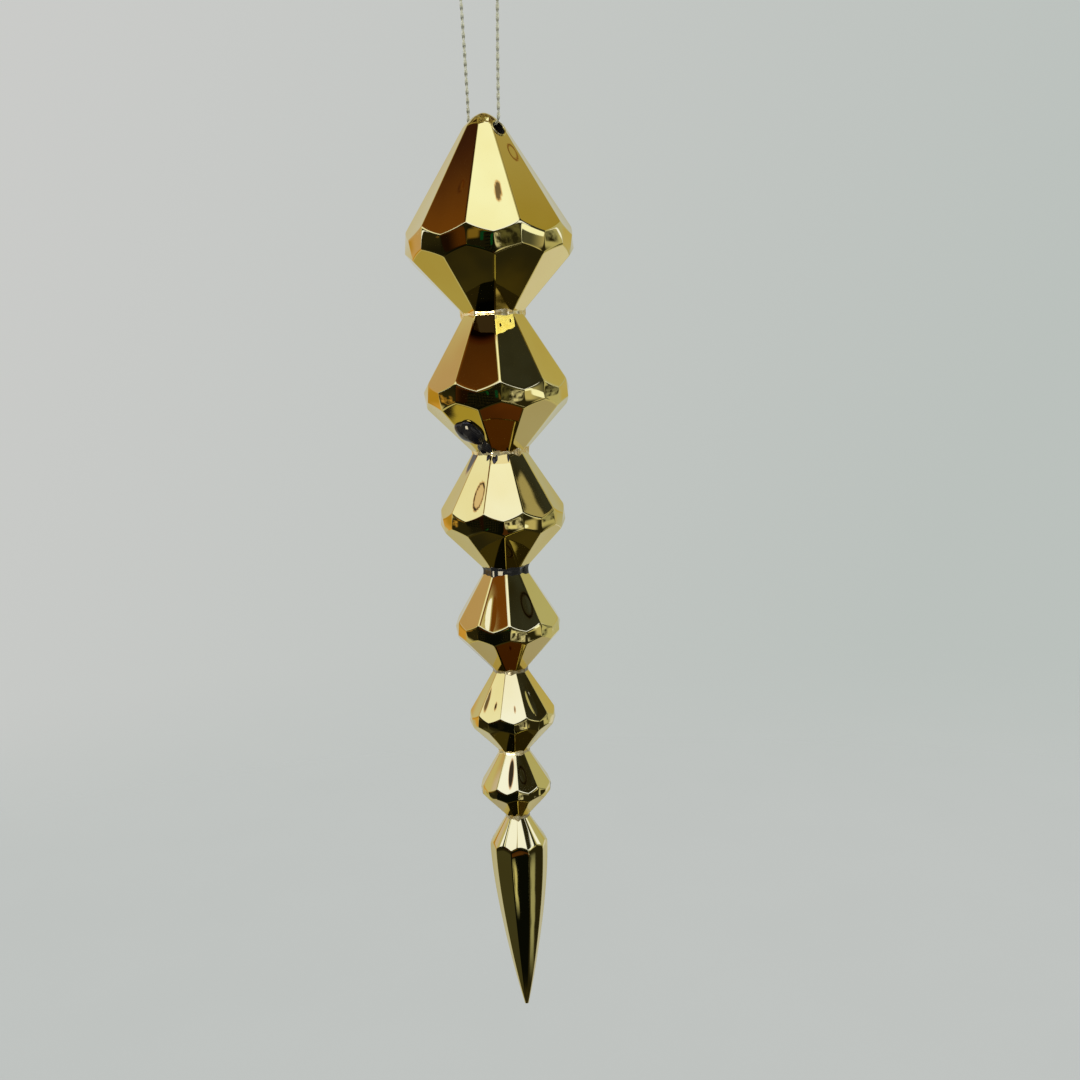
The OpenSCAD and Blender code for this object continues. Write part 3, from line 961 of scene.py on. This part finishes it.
# %% A yellow film below the first neck: a painted reflection on a thin sheet
# A gap in it is told by its place across and up, from -1 to 1, and its size.
FILM_AZIMUTH = math.radians(-18)
FILM_WIDE = 4.7 * MM
FILM_TALL = 5.2 * MM
FILM_PROUD = 0.07 * MM
FILM_SLANT = 0.08
FILM_CUT = 0.35
FILM_STEPS = 60
FILM_FRAY = 0.04
FRAY_WAVES = 7
FILM_SQUARE = 5
FILM_FADE = 4
GAP_FLAT = 0.6
FILM_GAPS = [(-0.92, 0.62, 0.16), (-0.5, -0.12, 0.13), (0.6, 0.24, 0.12)]


def make_film():
    """A thin sheet that follows a facet of gem 2 down from its neck, with small gaps in it. Its yellow is a
    painted reflection.
    """
    steps = np.linspace(-1, 1, FILM_STEPS)
    top, neck_r, _ = rings["gem_2"][0]
    verts = []
    for v in steps:
        level = top - (1 - v) / 2 * FILM_TALL
        across = steps * FILM_WIDE / 2 / (neck_r + (top - level) / 2)
        azimuth = FILM_AZIMUTH - FILM_SLANT * (1 - v) / 2 + across
        crown, _, _ = gem_surfaces("gem_2", azimuth % (2 * math.pi))
        foot = FILM_CUT * (steps + 1) - 1 + FILM_FRAY * np.sin(FRAY_WAVES * steps)
        edge = np.minimum(1 - np.abs(steps) ** FILM_SQUARE, 2 * (v - foot))
        for u_gap, v_gap, size in FILM_GAPS:
            away = np.hypot(steps - u_gap, (v - v_gap) * GAP_FLAT) / size
            edge = np.minimum(edge, away**2 - GAP_FLAT)
        radius = crown(level + 0 * azimuth) + FILM_PROUD * np.clip(FILM_FADE * edge, -1, 1)
        verts += [polar(r, a, level) for r, a in zip(radius, azimuth)]
    film = mesh_object("painted_reflection_film", verts, grid_faces(FILM_STEPS, FILM_STEPS, around=False))
    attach(film, "icicle")
    # The film stands for a reflection, so the mirror doesn't reflect it.
    film.visible_glossy = False
    return film


film = make_film()
print("film corners", len(film.data.vertices))

# %% [markdown]
# ## Node groups
# Three effects are used by more than one material, so each is a node group: the slow ripple of a moulded or
# poured surface, the faint marks of handling, and a colour that drifts a little. A group gives only a
# normal, a mask or a colour; the shader itself stays in each material.

# %% Nodes and what feeds them


def feed(tree, node, links):
    """Gives a node's inputs what links holds for them: a socket or a value."""
    for key, value in links.items():
        if isinstance(value, bpy.types.NodeSocket):
            tree.links.new(value, node.inputs[key])
        else:
            node.inputs[key].default_value = value


def add(tree, kind, links=None, **settings):
    """A node with its settings and what its inputs are fed with."""
    node = tree.nodes.new("ShaderNode" + kind)
    for key, value in settings.items():
        setattr(node, key, value)
    feed(tree, node, links or {})
    return node


# %% Small steps made of one node
def calc(tree, operation, a, b):
    """The result of a sum with two numbers."""
    return add(tree, "Math", {0: a, 1: b}, operation=operation).outputs[0]


def ramp(tree, value, start=0.0, full=1.0, low=0.0, high=1.0, way="LINEAR"):
    """A number that runs from low to high while a value runs from start to full."""
    links = {"Value": value, "From Min": start, "From Max": full, "To Min": low, "To Max": high}
    return add(tree, "MapRange", links, interpolation_type=way).outputs[0]


def mixed(tree, share, low, high):
    """A colour that is low where the share is 0 and high where it is 1."""
    return add(tree, "Mix", {0: share, 6: low, 7: high}, data_type="RGBA").outputs[2]


def stored(tree, name):
    """A number that is stored at a mesh's corners."""
    return add(tree, "Attribute", attribute_name=name).outputs["Fac"]


def object_noise(tree, scale, detail, where=None):
    """Noise in object space, in features per metre."""
    where = where or add(tree, "TexCoord").outputs["Object"]
    return add(tree, "TexNoise", {"Vector": where, "Scale": scale, "Detail": detail}).outputs[0]


# %% A new group
def new_group(name, output, kind, **inputs):
    """A shader group with named inputs and one output. Returns its tree, its inputs and its end node."""
    group = bpy.data.node_groups.new(name, "ShaderNodeTree")
    for socket, value in inputs.items():
        colour = isinstance(value, tuple)
        made = group.interface.new_socket(
            socket, in_out="INPUT", socket_type="NodeSocketColor" if colour else "NodeSocketFloat"
        )
        made.default_value = value
    group.interface.new_socket(output, in_out="OUTPUT", socket_type=kind)
    return group, group.nodes.new("NodeGroupInput").outputs, group.nodes.new("NodeGroupOutput")


# %% Surface ripple: a slow swell, with a grain twelve times as fine on it
def ripple_group():
    group, given, end = new_group(
        "surface_ripple", "Normal", "NodeSocketVector", Scale=150.0, Depth=0.0002, Grain=0.000002
    )
    slow = object_noise(group, given["Scale"], 1.0)
    fine = object_noise(group, calc(group, "MULTIPLY", given["Scale"], 12.0), 2.0)
    swell = add(group, "Bump", {"Distance": given["Depth"], "Height": slow}).outputs[0]
    skin = add(group, "Bump", {"Distance": given["Grain"], "Height": fine, "Normal": swell})
    feed(group, end, {"Normal": skin.outputs[0]})
    return group


# %% Handling marks: smears that run along the piece, and specks thirty times as fine
def marks_group():
    group, given, end = new_group(
        "handling_marks", "Mask", "NodeSocketFloat", Scale=60.0, Amount=0.5
    )
    where = add(group, "TexCoord").outputs["Object"]
    squash = add(group, "Mapping", {"Vector": where, "Scale": (1.0, 1.0, 0.35)}).outputs[0]
    smear = object_noise(group, given["Scale"], 5.0, squash)
    speck = object_noise(group, calc(group, "MULTIPLY", given["Scale"], 30.0), 1.0)
    both = calc(group, "MAXIMUM", ramp(group, smear, 0.5, 0.75), ramp(group, speck, 0.7, 0.76))
    feed(group, end, {"Mask": calc(group, "MULTIPLY", both, given["Amount"])})
    return group


# %% Drifting tone
def tone_group():
    group, given, end = new_group(
        "drifting_tone", "Color", "NodeSocketColor",
        Scale=40.0, Main=(1, 1, 1, 1), Drift=(0.8, 0.8, 0.8, 1),
    )
    share = ramp(group, object_noise(group, given["Scale"], 3.0), 0.35, 0.7)
    feed(group, end, {"Color": mixed(group, share, given["Main"], given["Drift"])})
    return group


RIPPLE, MARKS, TONE = ripple_group(), marks_group(), tone_group()
print("groups", [g.name for g in (RIPPLE, MARKS, TONE)])

# %% [markdown]
# ## Materials
# The gold is aluminium put on in a vacuum under a yellow lacquer: a full mirror with a yellow tint, a little
# paler where it is seen edge on. The glue is glossy and picks up the gold under it. The thread is a core
# wrapped in gold foil, so it glints in short stripes.

# %% Material helpers


def new_material(name, **values):
    """A material with a principled shader that holds the given constants."""
    material = bpy.data.materials.new(name)
    material.use_nodes = True
    tree = material.node_tree
    shader = tree.nodes["Principled BSDF"]
    feed(tree, shader, {key.replace("_", " "): value for key, value in values.items()})
    return material, tree, shader


def place(tree, group, **values):
    """What a group gives in a material, for its values there."""
    node = tree.nodes.new("ShaderNodeGroup")
    node.node_tree = group
    feed(tree, node, values)
    return node.outputs[0]


# %% What most of the materials share
def moulded(name, tone, marks, skin, dull, **values):
    """A material with all three effects, which most of the pieces start from.

    tone, marks and skin hold the values of the groups, and dull is the roughness of a clean and of a marked
    place. The last thing returned is the drifting colour, so that more can be laid over it."""
    material, tree, shader = new_material(name, **values)
    colour = place(tree, TONE, **tone)
    clean, marked = dull
    feed(tree, shader, {
        "Base Color": colour,
        "Roughness": ramp(tree, place(tree, MARKS, **marks), low=clean, high=marked),
        "Normal": place(tree, RIPPLE, **skin),
    })
    return material, tree, shader, colour


def wear(piece, *materials):
    """Gives a piece its materials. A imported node's own ones go first.

    Nothing is cleared where there are none, because that would put every face back on the first one."""
    if len(piece.data.materials):
        piece.data.materials.clear()
    for material in materials:
        piece.data.materials.append(material)


# %% Gold mirror. The painted dark reflection in the sink marks first turns it amber, then nearly black
GOLD = (0.84, 0.68, 0.21, 1)
GOLD_DEEP = (0.8, 0.61, 0.16, 1)
PAINTED_AMBER_REFLECTION = (0.62, 0.34, 0.07, 1)
PAINTED_DARK_REFLECTION = (0.034, 0.019, 0.004, 1)


def gold_material():
    material, tree, shader, colour = moulded(
        "gold_mirror",
        tone=dict(Scale=45.0, Main=GOLD, Drift=GOLD_DEEP),
        marks=dict(Scale=70.0, Amount=0.5),
        skin=dict(Scale=120.0, Depth=0.000035, Grain=0.0000004),
        dull=(0.025, 0.1),
        Metallic=1.0,
    )
    # Painted dark reflection in the marks: amber first, then nearly black.
    painted_share = stored(tree, "reflection_paint")
    for reflection_shade, start, full in ((PAINTED_AMBER_REFLECTION, 0.0, 0.45), (PAINTED_DARK_REFLECTION, 0.5, 1.0)):
        colour = mixed(tree, ramp(tree, painted_share, start, full), colour, reflection_shade)
    feed(tree, shader, {"Base Color": colour})
    return material


# %% Bare plastic, for the pegs, and for the bore, whose near-black is painted shade
def plastic_material(name, colour, drift, roughness):
    return moulded(
        name,
        tone=dict(Scale=300.0, Main=colour, Drift=drift),
        marks=dict(Scale=200.0, Amount=0.6),
        skin=dict(Scale=600.0, Depth=0.00003, Grain=0.000004),
        dull=(roughness, roughness + 0.2),
    )[0]


# %% Glue: clear or dark in the necks, black in the drop; and the yellow film, which is a painted reflection
GLUE_CLEAR = (0.95, 0.85, 0.5, 1)
GLUE_SHADE = (0.01, 0.01, 0.01, 1)
GLUE_GLOSS = (1.0, 0.88, 0.6, 1)


def glue_material():
    material, tree, shader, colour = moulded(
        "neck_glue",
        tone=dict(Scale=700.0, Main=GLUE_CLEAR, Drift=(0.6, 0.4, 0.1, 1)),
        marks=dict(Scale=500.0, Amount=0.7),
        skin=dict(Scale=600.0, Depth=0.00002, Grain=0.0000005),
        dull=(0.05, 0.2),
        Specular_Tint=GLUE_GLOSS,
    )
    dark = stored(tree, "dark")
    feed(tree, shader, {
        "Base Color": mixed(tree, dark, colour, GLUE_SHADE),
        "Metallic": ramp(tree, dark, low=0.8, high=0.0),
    })
    return material


def dark_glue_material():
    return moulded(
        "dark_glue",
        tone=dict(Scale=400.0, Main=(0.003, 0.003, 0.004, 1), Drift=(0.012, 0.011, 0.01, 1)),
        marks=dict(Scale=400.0, Amount=0.5),
        skin=dict(Scale=400.0, Depth=0.00003, Grain=0.0000006),
        dull=(0.03, 0.16),
        Specular_Tint=GLUE_GLOSS,
    )[0]


# The film's yellow is a painted reflection.
def film_material():
    return moulded(
        "painted_reflection_film",
        tone=dict(Scale=500.0, Main=(0.95, 0.8, 0.18, 1), Drift=(0.9, 0.68, 0.1, 1)),
        marks=dict(Scale=600.0, Amount=0.6),
        skin=dict(Scale=900.0, Depth=0.00006, Grain=0.000001),
        dull=(0.1, 0.3),
        Specular_Tint=GLUE_GLOSS,
    )[0]


# %% Metallic thread: foil with thin gaps between its turns, and painted shade where the strands cross
FOIL = (0.85, 0.84, 0.62, 1)
FOIL_DRIFT = (0.72, 0.7, 0.48, 1)
THREAD_CORE = (0.12, 0.12, 0.07, 1)


def thread_material():
    material, tree, shader = new_material("metallic_thread")
    where = add(tree, "TexCoord").outputs["Object"]
    wrap = add(tree, "TexWave", {"Vector": where, "Scale": 1000.0, "Distortion": 2.0, "Detail": 1.0},
               wave_type="BANDS", bands_direction="Z").outputs["Fac"]
    foil = place(tree, TONE, Scale=700.0, Main=FOIL, Drift=FOIL_DRIFT)
    wrapped = ramp(tree, wrap, 0.1, 0.4, low=0.65)
    # Painted shade at the crossings: the foil there darkens towards the core colour.
    lit = ramp(tree, stored(tree, "crossing"), low=1.0, high=0.1)
    share = calc(tree, "MULTIPLY", wrapped, lit)
    marks = place(tree, MARKS, Scale=900.0, Amount=1.0)
    bump = add(tree, "Bump", {"Distance": 0.00004, "Height": wrap})
    feed(tree, shader, {
        "Base Color": mixed(tree, share, THREAD_CORE, foil),
        "Metallic": ramp(tree, share, low=0.05, high=0.2),
        "Roughness": ramp(tree, marks, low=0.28, high=0.55),
        "Normal": bump.outputs[0],
    })
    return material


# %% Materials on their pieces
gold, glue, dark_glue, foil = gold_material(), glue_material(), dark_glue_material(), thread_material()
reflection_film_paint = film_material()
# The bore wall's near-black is painted shade for the dark inside of the hole.
bore_shade = plastic_material("shaded_bore", (0.02, 0.018, 0.01, 1), (0.008, 0.007, 0.005, 1), 0.5)
peg_plastic = plastic_material("peg_plastic", (0.8, 0.77, 0.68, 1), (0.72, 0.69, 0.58, 1), 0.3)
wear(top_piece, gold, bore_shade)
for piece in gem_pieces[1:] + [spike, lip]:
    wear(piece, gold)
for piece in beads:
    wear(piece, glue)
wear(blob, dark_glue)
wear(film, reflection_film_paint)
for piece in (thread, knot):
    wear(piece, foil)
for node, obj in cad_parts.items():
    if node.startswith("neck_peg"):
        wear(obj, peg_plastic)
print("materials", sorted(m.name for m in (gold, glue, dark_glue, reflection_film_paint, foil, bore_shade, peg_plastic)))

# %% [markdown]
# ## Studio
# A mirror finish has no look of its own: it shows the room. A plain pale room would make every facet the same
# khaki. So the room is built from cards round the ornament, as for a shop window: black velvet in front, a
# large daylight card overhead, and many small coloured ones. The camera and the diffuse light don't see the
# cards, only the reflections do. Azimuth is counted from the camera's side, to its right.

# %% Reflection cards: azimuth, elevation and size in degrees
# A card may shade from one colour at its top to another at its bottom, or be mottled with the two.
# A higher layer is nearer and hides the ones behind it. lean and rake tilt a card's sides and its top and
# bottom, in degrees for each degree.
Card = namedtuple(
    "Card", "az el wide tall top low soft layer lean rake mottled", defaults=(None, 0.2, 1, 0, 0, False)
)
VELVET = (0.022, 0.021, 0.014)
BLACK = (0.003, 0.004, 0.004)
SLATE = (0.036, 0.043, 0.058)
OLIVE = (0.052, 0.054, 0.04)
CREAM = (1.1, 1.29, 2.1)
WHITE = (1.08, 1.29, 3.0)
WOOD = (0.17, 0.062, 0.012)
DARK_WOOD = (0.032, 0.012, 0.006)
AMBER = (0.66, 0.41, 0.13)
BRASS = (0.4, 0.34, 0.17)
YELLOW = (0.52, 0.48, 0.26)
KHAKI = (0.36, 0.4, 0.42)
PALE = (0.7, 0.75, 1.0)
GREY = (0.42, 0.42, 0.47)
CARDS = {
    "velvet_front": Card(-5, -14, 190, 100, VELVET, None, 0.06, 0),
    "velvet_right": Card(65, 41, 62, 44, VELVET, SLATE, 0.08, 0, mottled=True),
    "velvet_floor": Card(0, -78, 360, 40, (0.05, 0.042, 0.014), VELVET, 0.2, 0, mottled=True),
    "ceiling_back": Card(180, 66, 240, 50, BRASS, DARK_WOOD, 0.3, 0, mottled=True),
    "zenith": Card(0, 87, 360, 12, BRASS, DARK_WOOD, 0.1, 0, mottled=True),
    "black_front": Card(-22, -30, 74, 66, BLACK, None, 0.15, 1),
    "black_band": Card(-35, 0, 100, 44, (0.01, 0.01, 0.008), None, 0.3, 1),
    "olive_right": Card(27, 8, 26, 26, (0.11, 0.115, 0.08), (0.02, 0.02, 0.015), 0.2, 2, mottled=True),
    "haze_right": Card(25, -15, 24, 30, PALE, (0.04, 0.04, 0.035), 0.2, 2, mottled=True),
    "olive_left": Card(-73, -41, 26, 36, OLIVE, None, 0.3, 1),
    "velvet_low": Card(90, -44, 34, 40, VELVET, None, 0.1, 1),
    "wood_left": Card(-73.5, 56, 77, 38, DARK_WOOD, WOOD, 0.1, 1),
    "wood_band": Card(-49, 7, 26, 28, (0.075, 0.027, 0.004), (0.012, 0.005, 0.003), 0.25, 2),
    "wood_floor": Card(47, -85, 60, 9, (0.09, 0.028, 0.006), (0.025, 0.01, 0.004), 0.2, 1, mottled=True),
    "wood_low": Card(6, -25.5, 17, 8, (0.06, 0.024, 0.008), None, 0.25, 3),
    "wood_lower": Card(7.2, -30.3, 9, 5.6, (0.08, 0.034, 0.012), None, 0.2, 3),
    "wood_spot": Card(24, -19.3, 12, 3, (0.045, 0.036, 0.03), None, 0.3, 4),
    "wood_shade": Card(-95, 54.5, 24, 14, (0.04, 0.014, 0.012), (0.17, 0.064, 0.014), 0.06, 2),
    "daylight_top": Card(3, 56, 50, 50, CREAM, WHITE, 0.06, 2),
    "daylight_left": Card(-78, 34, 40, 22, (0.97, 1.1, 1.78), None, 0.15, 2),
    "daylight_low": Card(-40, 33, 36, 7, WHITE, None, 0.2, 2, rake=0.12),
    "daylight_step": Card(-30, 43, 12, 12, WHITE, None, 0.2, 2),
    "strip_right": Card(48, 25, 32, 10.5, WHITE, None, 0.2, 3),
    "strip_front": Card(31, 33.8, 21, 6.5, WHITE, None, 0.15, 3),
    "khaki_wedge": Card(88.8, 33.7, 5.6, 10, (0.41, 0.41, 0.4), None, 0.15, 3, 0, 1.0),
    "wedge_front": Card(58.8, 6, 7.6, 28, CREAM, None, 0.2, 3, -0.38),
    "line_left": Card(-92, 15.8, 12, 2.6, WHITE, None, 0.4, 3, rake=0.38),
    "wedge_right": Card(102.5, 13.6, 11, 2.6, WHITE, None, 0.4, 3, rake=-0.47),
    "glint_low": Card(17, -15, 6, 16, (0.8, 0.85, 0.9), None, 0.5, 3),
    "glint_lower": Card(40, -28.5, 36, 5, PALE, (0.1, 0.1, 0.1), 0.4, 3, mottled=True),
    "brass_right": Card(108, 49.5, 28, 22, (0.42, 0.38, 0.24), (0.35, 0.29, 0.06), 0.4, 1),
    "khaki_back": Card(131, 28, 20, 14, (0.5, 0.48, 0.28), None, 0.4, 1),
    "amber_left": Card(-119, 6, 34, 66, (0.54, 0.42, 0.42), AMBER, 0.2, 1),
    "pale_left": Card(-108, 10, 12, 8, (0.62, 0.6, 1.0), None, 0.3, 3),
    "amber_deep": Card(-120, -3, 24, 24, (0.48, 0.3, 0.05), None, 0.6, 2),
    "amber_spot": Card(-89, -4, 12, 15, AMBER, VELVET, 0.4, 2, mottled=True),
    "olive_band": Card(-13, 12, 11, 14, (0.2, 0.14, 0.04), None, 0.5, 2),
    "green_band": Card(-6, -5.2, 12, 2.6, (0.003, 0.06, 0.03), None, 0.3, 3),
    "green_high": Card(-10, 4, 9, 3.6, (0.003, 0.05, 0.035), None, 0.3, 3),
    "khaki_right": Card(65, 0, 24, 40, (0.08, 0.09, 0.1), (0.55, 0.55, 0.5), 0.3, 2),
    "streak_right": Card(99, -4, 14, 34, KHAKI, VELVET, 0.3, 1, mottled=True),
    "yellow_right": Card(135, 4, 34, 26, YELLOW, None, 0.5, 1),
    "yellow_low": Card(-128, -32, 16, 10, (0.44, 0.4, 0.2), None, 0.4, 1),
    "yellow_lower": Card(-116, -53, 16, 8, (0.42, 0.37, 0.11), None, 0.4, 1),
    "shade_lower": Card(-111.6, -55, 5, 6, (0.02, 0.017, 0.014), None, 0.5, 2),
    "yellow_floor": Card(72, -73, 30, 7, (0.9, 0.85, 0.3), None, 0.4, 2),
    "pale_right": Card(139, -27, 20, 14, PALE, None, 0.4, 1),
    "grey_low_right": Card(136, -52, 44, 16, GREY, None, 0.4, 1),
    "grey_low_left": Card(-141, -55, 26, 14, GREY, None, 0.4, 1),
    "stripe_front": Card(6.2, -41, 1.4, 16, (0.6, 0.64, 0.6), None, 0.7, 2),
    "stripe_right": Card(82.5, -42, 3, 24, KHAKI, None, 0.6, 2, -0.42),
    "velvet_back_low": Card(180, -46, 32, 50, VELVET, None, 0.2, 1),
}

# %% A card's place and light
CARD_RADIUS = 0.7
LAYER_STEP = 0.02
MOTTLE_SCALE = 14.0
MOTTLE_RANGE = (0.38, 0.64)
SHADE_RANGE = (0.25, 0.75)
CARD_CENTRE = APEX - Vector((0, 0, 86 * MM))


def facing(azimuth, elevation):
    """Unit direction at an azimuth from the camera's side and an elevation, both in degrees."""
    a, e = math.radians(azimuth), math.radians(elevation)
    flat = Vector((math.sin(a) * math.cos(e), -math.cos(a) * math.cos(e), math.sin(e)))
    return Matrix.Rotation(CAMERA_YAW, 3, "Z") @ flat


def bare_tree(owner):
    """The emptied node tree of a material or a world."""
    owner.use_nodes = True
    owner.node_tree.nodes.clear()
    return owner.node_tree


def fading(tree, soft, surface):
    """Ends a tree with a surface that fades out where the stored number inside falls from soft to 0."""
    fade = ramp(tree, stored(tree, "inside"), full=soft, way="SMOOTHSTEP")
    clear = add(tree, "BsdfTransparent")
    faded = add(tree, "MixShader", {0: fade, 1: clear.outputs[0], 2: surface.outputs[0]})
    add(tree, "OutputMaterial", {"Surface": faded.outputs[0]})


def card_material(name, card):
    """Light in the card's colours that fades out towards its edge."""
    material = bpy.data.materials.new(name)
    tree = bare_tree(material)
    if card.mottled:
        share = ramp(tree, object_noise(tree, MOTTLE_SCALE, 2.0), *MOTTLE_RANGE)
    else:
        share = ramp(tree, stored(tree, "rise"), *SHADE_RANGE, way="SMOOTHSTEP")
    colour = mixed(tree, share, (*(card.low or card.top), 1), (*card.top, 1))
    fading(tree, card.soft, add(tree, "Emission", {"Color": colour}))
    return material


# %% The cards' meshes
CARD_CELL = 3
CARD_CELLS = 12
CARD_SQUARE = 6
ALL_ROUND = 360


def make_card(name, card):
    """A curved card on a sphere round the ornament."""
    columns, rows = [max(CARD_CELLS, int(size / CARD_CELL)) for size in (card.wide, card.tall)]
    radius = CARD_RADIUS - card.layer * LAYER_STEP
    verts, inside, rise = [], [], []
    for j in range(rows + 1):
        for i in range(columns + 1):
            u, v = 2 * i / columns - 1, 2 * j / rows - 1
            above = v * card.tall / 2
            aside = u * card.wide / 2
            azimuth = card.az + aside + card.lean * above
            elevation = min(90.0, max(-90.0, card.el + above + card.rake * aside))
            verts.append(CARD_CENTRE + facing(azimuth, elevation) * radius)
            sideways = 0 if card.wide == ALL_ROUND else abs(u)
            inside.append(1 - (sideways**CARD_SQUARE + abs(v) ** CARD_SQUARE) ** (1 / CARD_SQUARE))
            rise.append((v + 1) / 2)
    mesh = bpy.data.meshes.new("card_" + name)
    mesh.from_pydata(verts, [], grid_faces(rows + 1, columns + 1, around=False))
    point_values(mesh, "inside", inside)
    point_values(mesh, "rise", rise)
    piece = new_object("card_" + name, mesh)
    wear(piece, card_material("card_" + name, card))
    for eye in ("camera", "diffuse", "shadow", "volume_scatter"):
        setattr(piece, "visible_" + eye, False)
    return piece


cards = [make_card(name, card) for name, card in CARDS.items()]
print("cards", len(cards))

# %% [markdown]
# ## Room, lamps and floor
# The room behind the ornament is plain and pale, a little lighter on the left. It could be a big curved
# sheet, but the world's own colour does the same without walls, and light on the object stays apart from it.
# The mirror hardly needs lamps. Two soft suns light the thread and the glue, and a small lamp that reaches
# only the glue and the yellow film gives the glue wet highlights and brightens the film's painted reflection.
# The floor is far below and keeps a soft shadow.

# %% Room
BACKDROP_LEFT = (0.6, 0.603, 0.588, 1)
BACKDROP_RIGHT = (0.496, 0.534, 0.508, 1)
AMBIENT = (0.72, 0.73, 0.72, 1)
LIGHTER_SIDE = (-90, 25)
WALL_RANGE = (-0.35, 0.5)


def make_world():
    """A plain pale room: its own colour to the camera and in reflections, a soft fill elsewhere."""
    world = bpy.data.worlds.new("room")
    tree = bare_tree(world)
    path = add(tree, "LightPath").outputs
    seen = calc(tree, "MAXIMUM", path["Is Camera Ray"], path["Is Glossy Ray"])
    seen = calc(tree, "MAXIMUM", seen, path["Is Transmission Ray"])
    along = add(tree, "VectorMath", {0: add(tree, "TexCoord").outputs["Generated"], 1: facing(*LIGHTER_SIDE)},
                operation="DOT_PRODUCT").outputs["Value"]
    wall = mixed(tree, ramp(tree, along, *WALL_RANGE), BACKDROP_RIGHT, BACKDROP_LEFT)
    light = add(tree, "Background", {"Color": mixed(tree, seen, AMBIENT, wall)})
    add(tree, "OutputWorld", {"Surface": light.outputs[0]})
    scene.world = world
    scene.view_settings.view_transform = "Standard"


make_world()
print("room", scene.world.name)

# %% Lamps
GLINT_RADIUS = 0.5


def new_lamp(name, kind, azimuth, elevation, strength):
    """A lamp that shines on the ornament from a direction."""
    data = bpy.data.lights.new(name, kind)
    data.energy = strength
    lamp = new_object(name, data)
    lamp.rotation_euler = facing(azimuth, elevation).to_track_quat("Z", "Y").to_euler()
    return lamp


def make_lamp(name, azimuth, elevation, strength, angle):
    """A soft sun. It lights the thread and the glue; the mirror shows the cards instead."""
    lamp = new_lamp(name, "SUN", azimuth, elevation, strength)
    lamp.data.angle = math.radians(angle)
    lamp.visible_glossy = False


def make_glint(name, azimuth, elevation, size, power, lit):
    """A small lamp behind a flag: only the pieces in lit are reached by it."""
    lamp = new_lamp(name, "AREA", azimuth, elevation, power)
    lamp.data.size = size
    lamp.location = CARD_CENTRE + facing(azimuth, elevation) * GLINT_RADIUS
    reached = bpy.data.collections.new(name + "_reaches")
    for piece in lit:
        reached.objects.link(piece)
    lamp.light_linking.receiver_collection = reached
    lamp.visible_camera = False


make_lamp("key", 10, 60, 1.2, 40)
make_lamp("fill", -100, 35, 0.4, 60)
make_glint("glint", -32, -14, 0.24, 2.7, [blob, film] + beads)
print("lamps", len(bpy.data.lights))

# %% Floor
BACKDROP = (0.505, 0.525, 0.51, 1)
FLOOR_DRIFT = (0.49, 0.51, 0.495, 1)
FLOOR_Z = -0.9
FLOOR_R = 3.0
FLOOR_RINGS = 24
FLOOR_SIDES = 96
FLOOR_FADE = 0.5
FLOOR_MATT = 0.35


def make_floor():
    """A pale disc that keeps a soft shadow and fades into the room at its rim."""
    verts, inside = [(0, 0, FLOOR_Z)], [1.0]
    for j in range(1, FLOOR_RINGS + 1):
        for k in range(FLOOR_SIDES):
            verts.append(polar(FLOOR_R * j / FLOOR_RINGS, 2 * math.pi * k / FLOOR_SIDES, FLOOR_Z))
            inside.append(1 - j / FLOOR_RINGS)
    faces = [(0, 1 + k, 1 + (k + 1) % FLOOR_SIDES) for k in range(FLOOR_SIDES)]
    faces += [(p + 1, s + 1, r + 1, q + 1) for p, q, r, s in grid_faces(FLOOR_RINGS, FLOOR_SIDES)]
    mesh = bpy.data.meshes.new("floor")
    mesh.from_pydata(verts, [], faces)
    point_values(mesh, "inside", inside)
    floor = new_object("floor", mesh)
    material = bpy.data.materials.new("floor_paper")
    tree = bare_tree(material)
    paper = place(tree, TONE, Scale=6.0, Main=BACKDROP, Drift=FLOOR_DRIFT)
    bump = add(tree, "Bump", {"Distance": 0.0001, "Height": object_noise(tree, 400.0, 3.0)})
    matt = add(tree, "BsdfDiffuse", {"Color": paper, "Normal": bump.outputs[0]})
    glow = add(tree, "Emission", {"Color": BACKDROP})
    sheet = add(tree, "MixShader", {0: FLOOR_MATT, 1: glow.outputs[0], 2: matt.outputs[0]})
    fading(tree, FLOOR_FADE, sheet)
    wear(floor, material)


make_floor()
print("floor", round((APEX.z - FLOOR_Z) / MM), "mm below the rounded top")
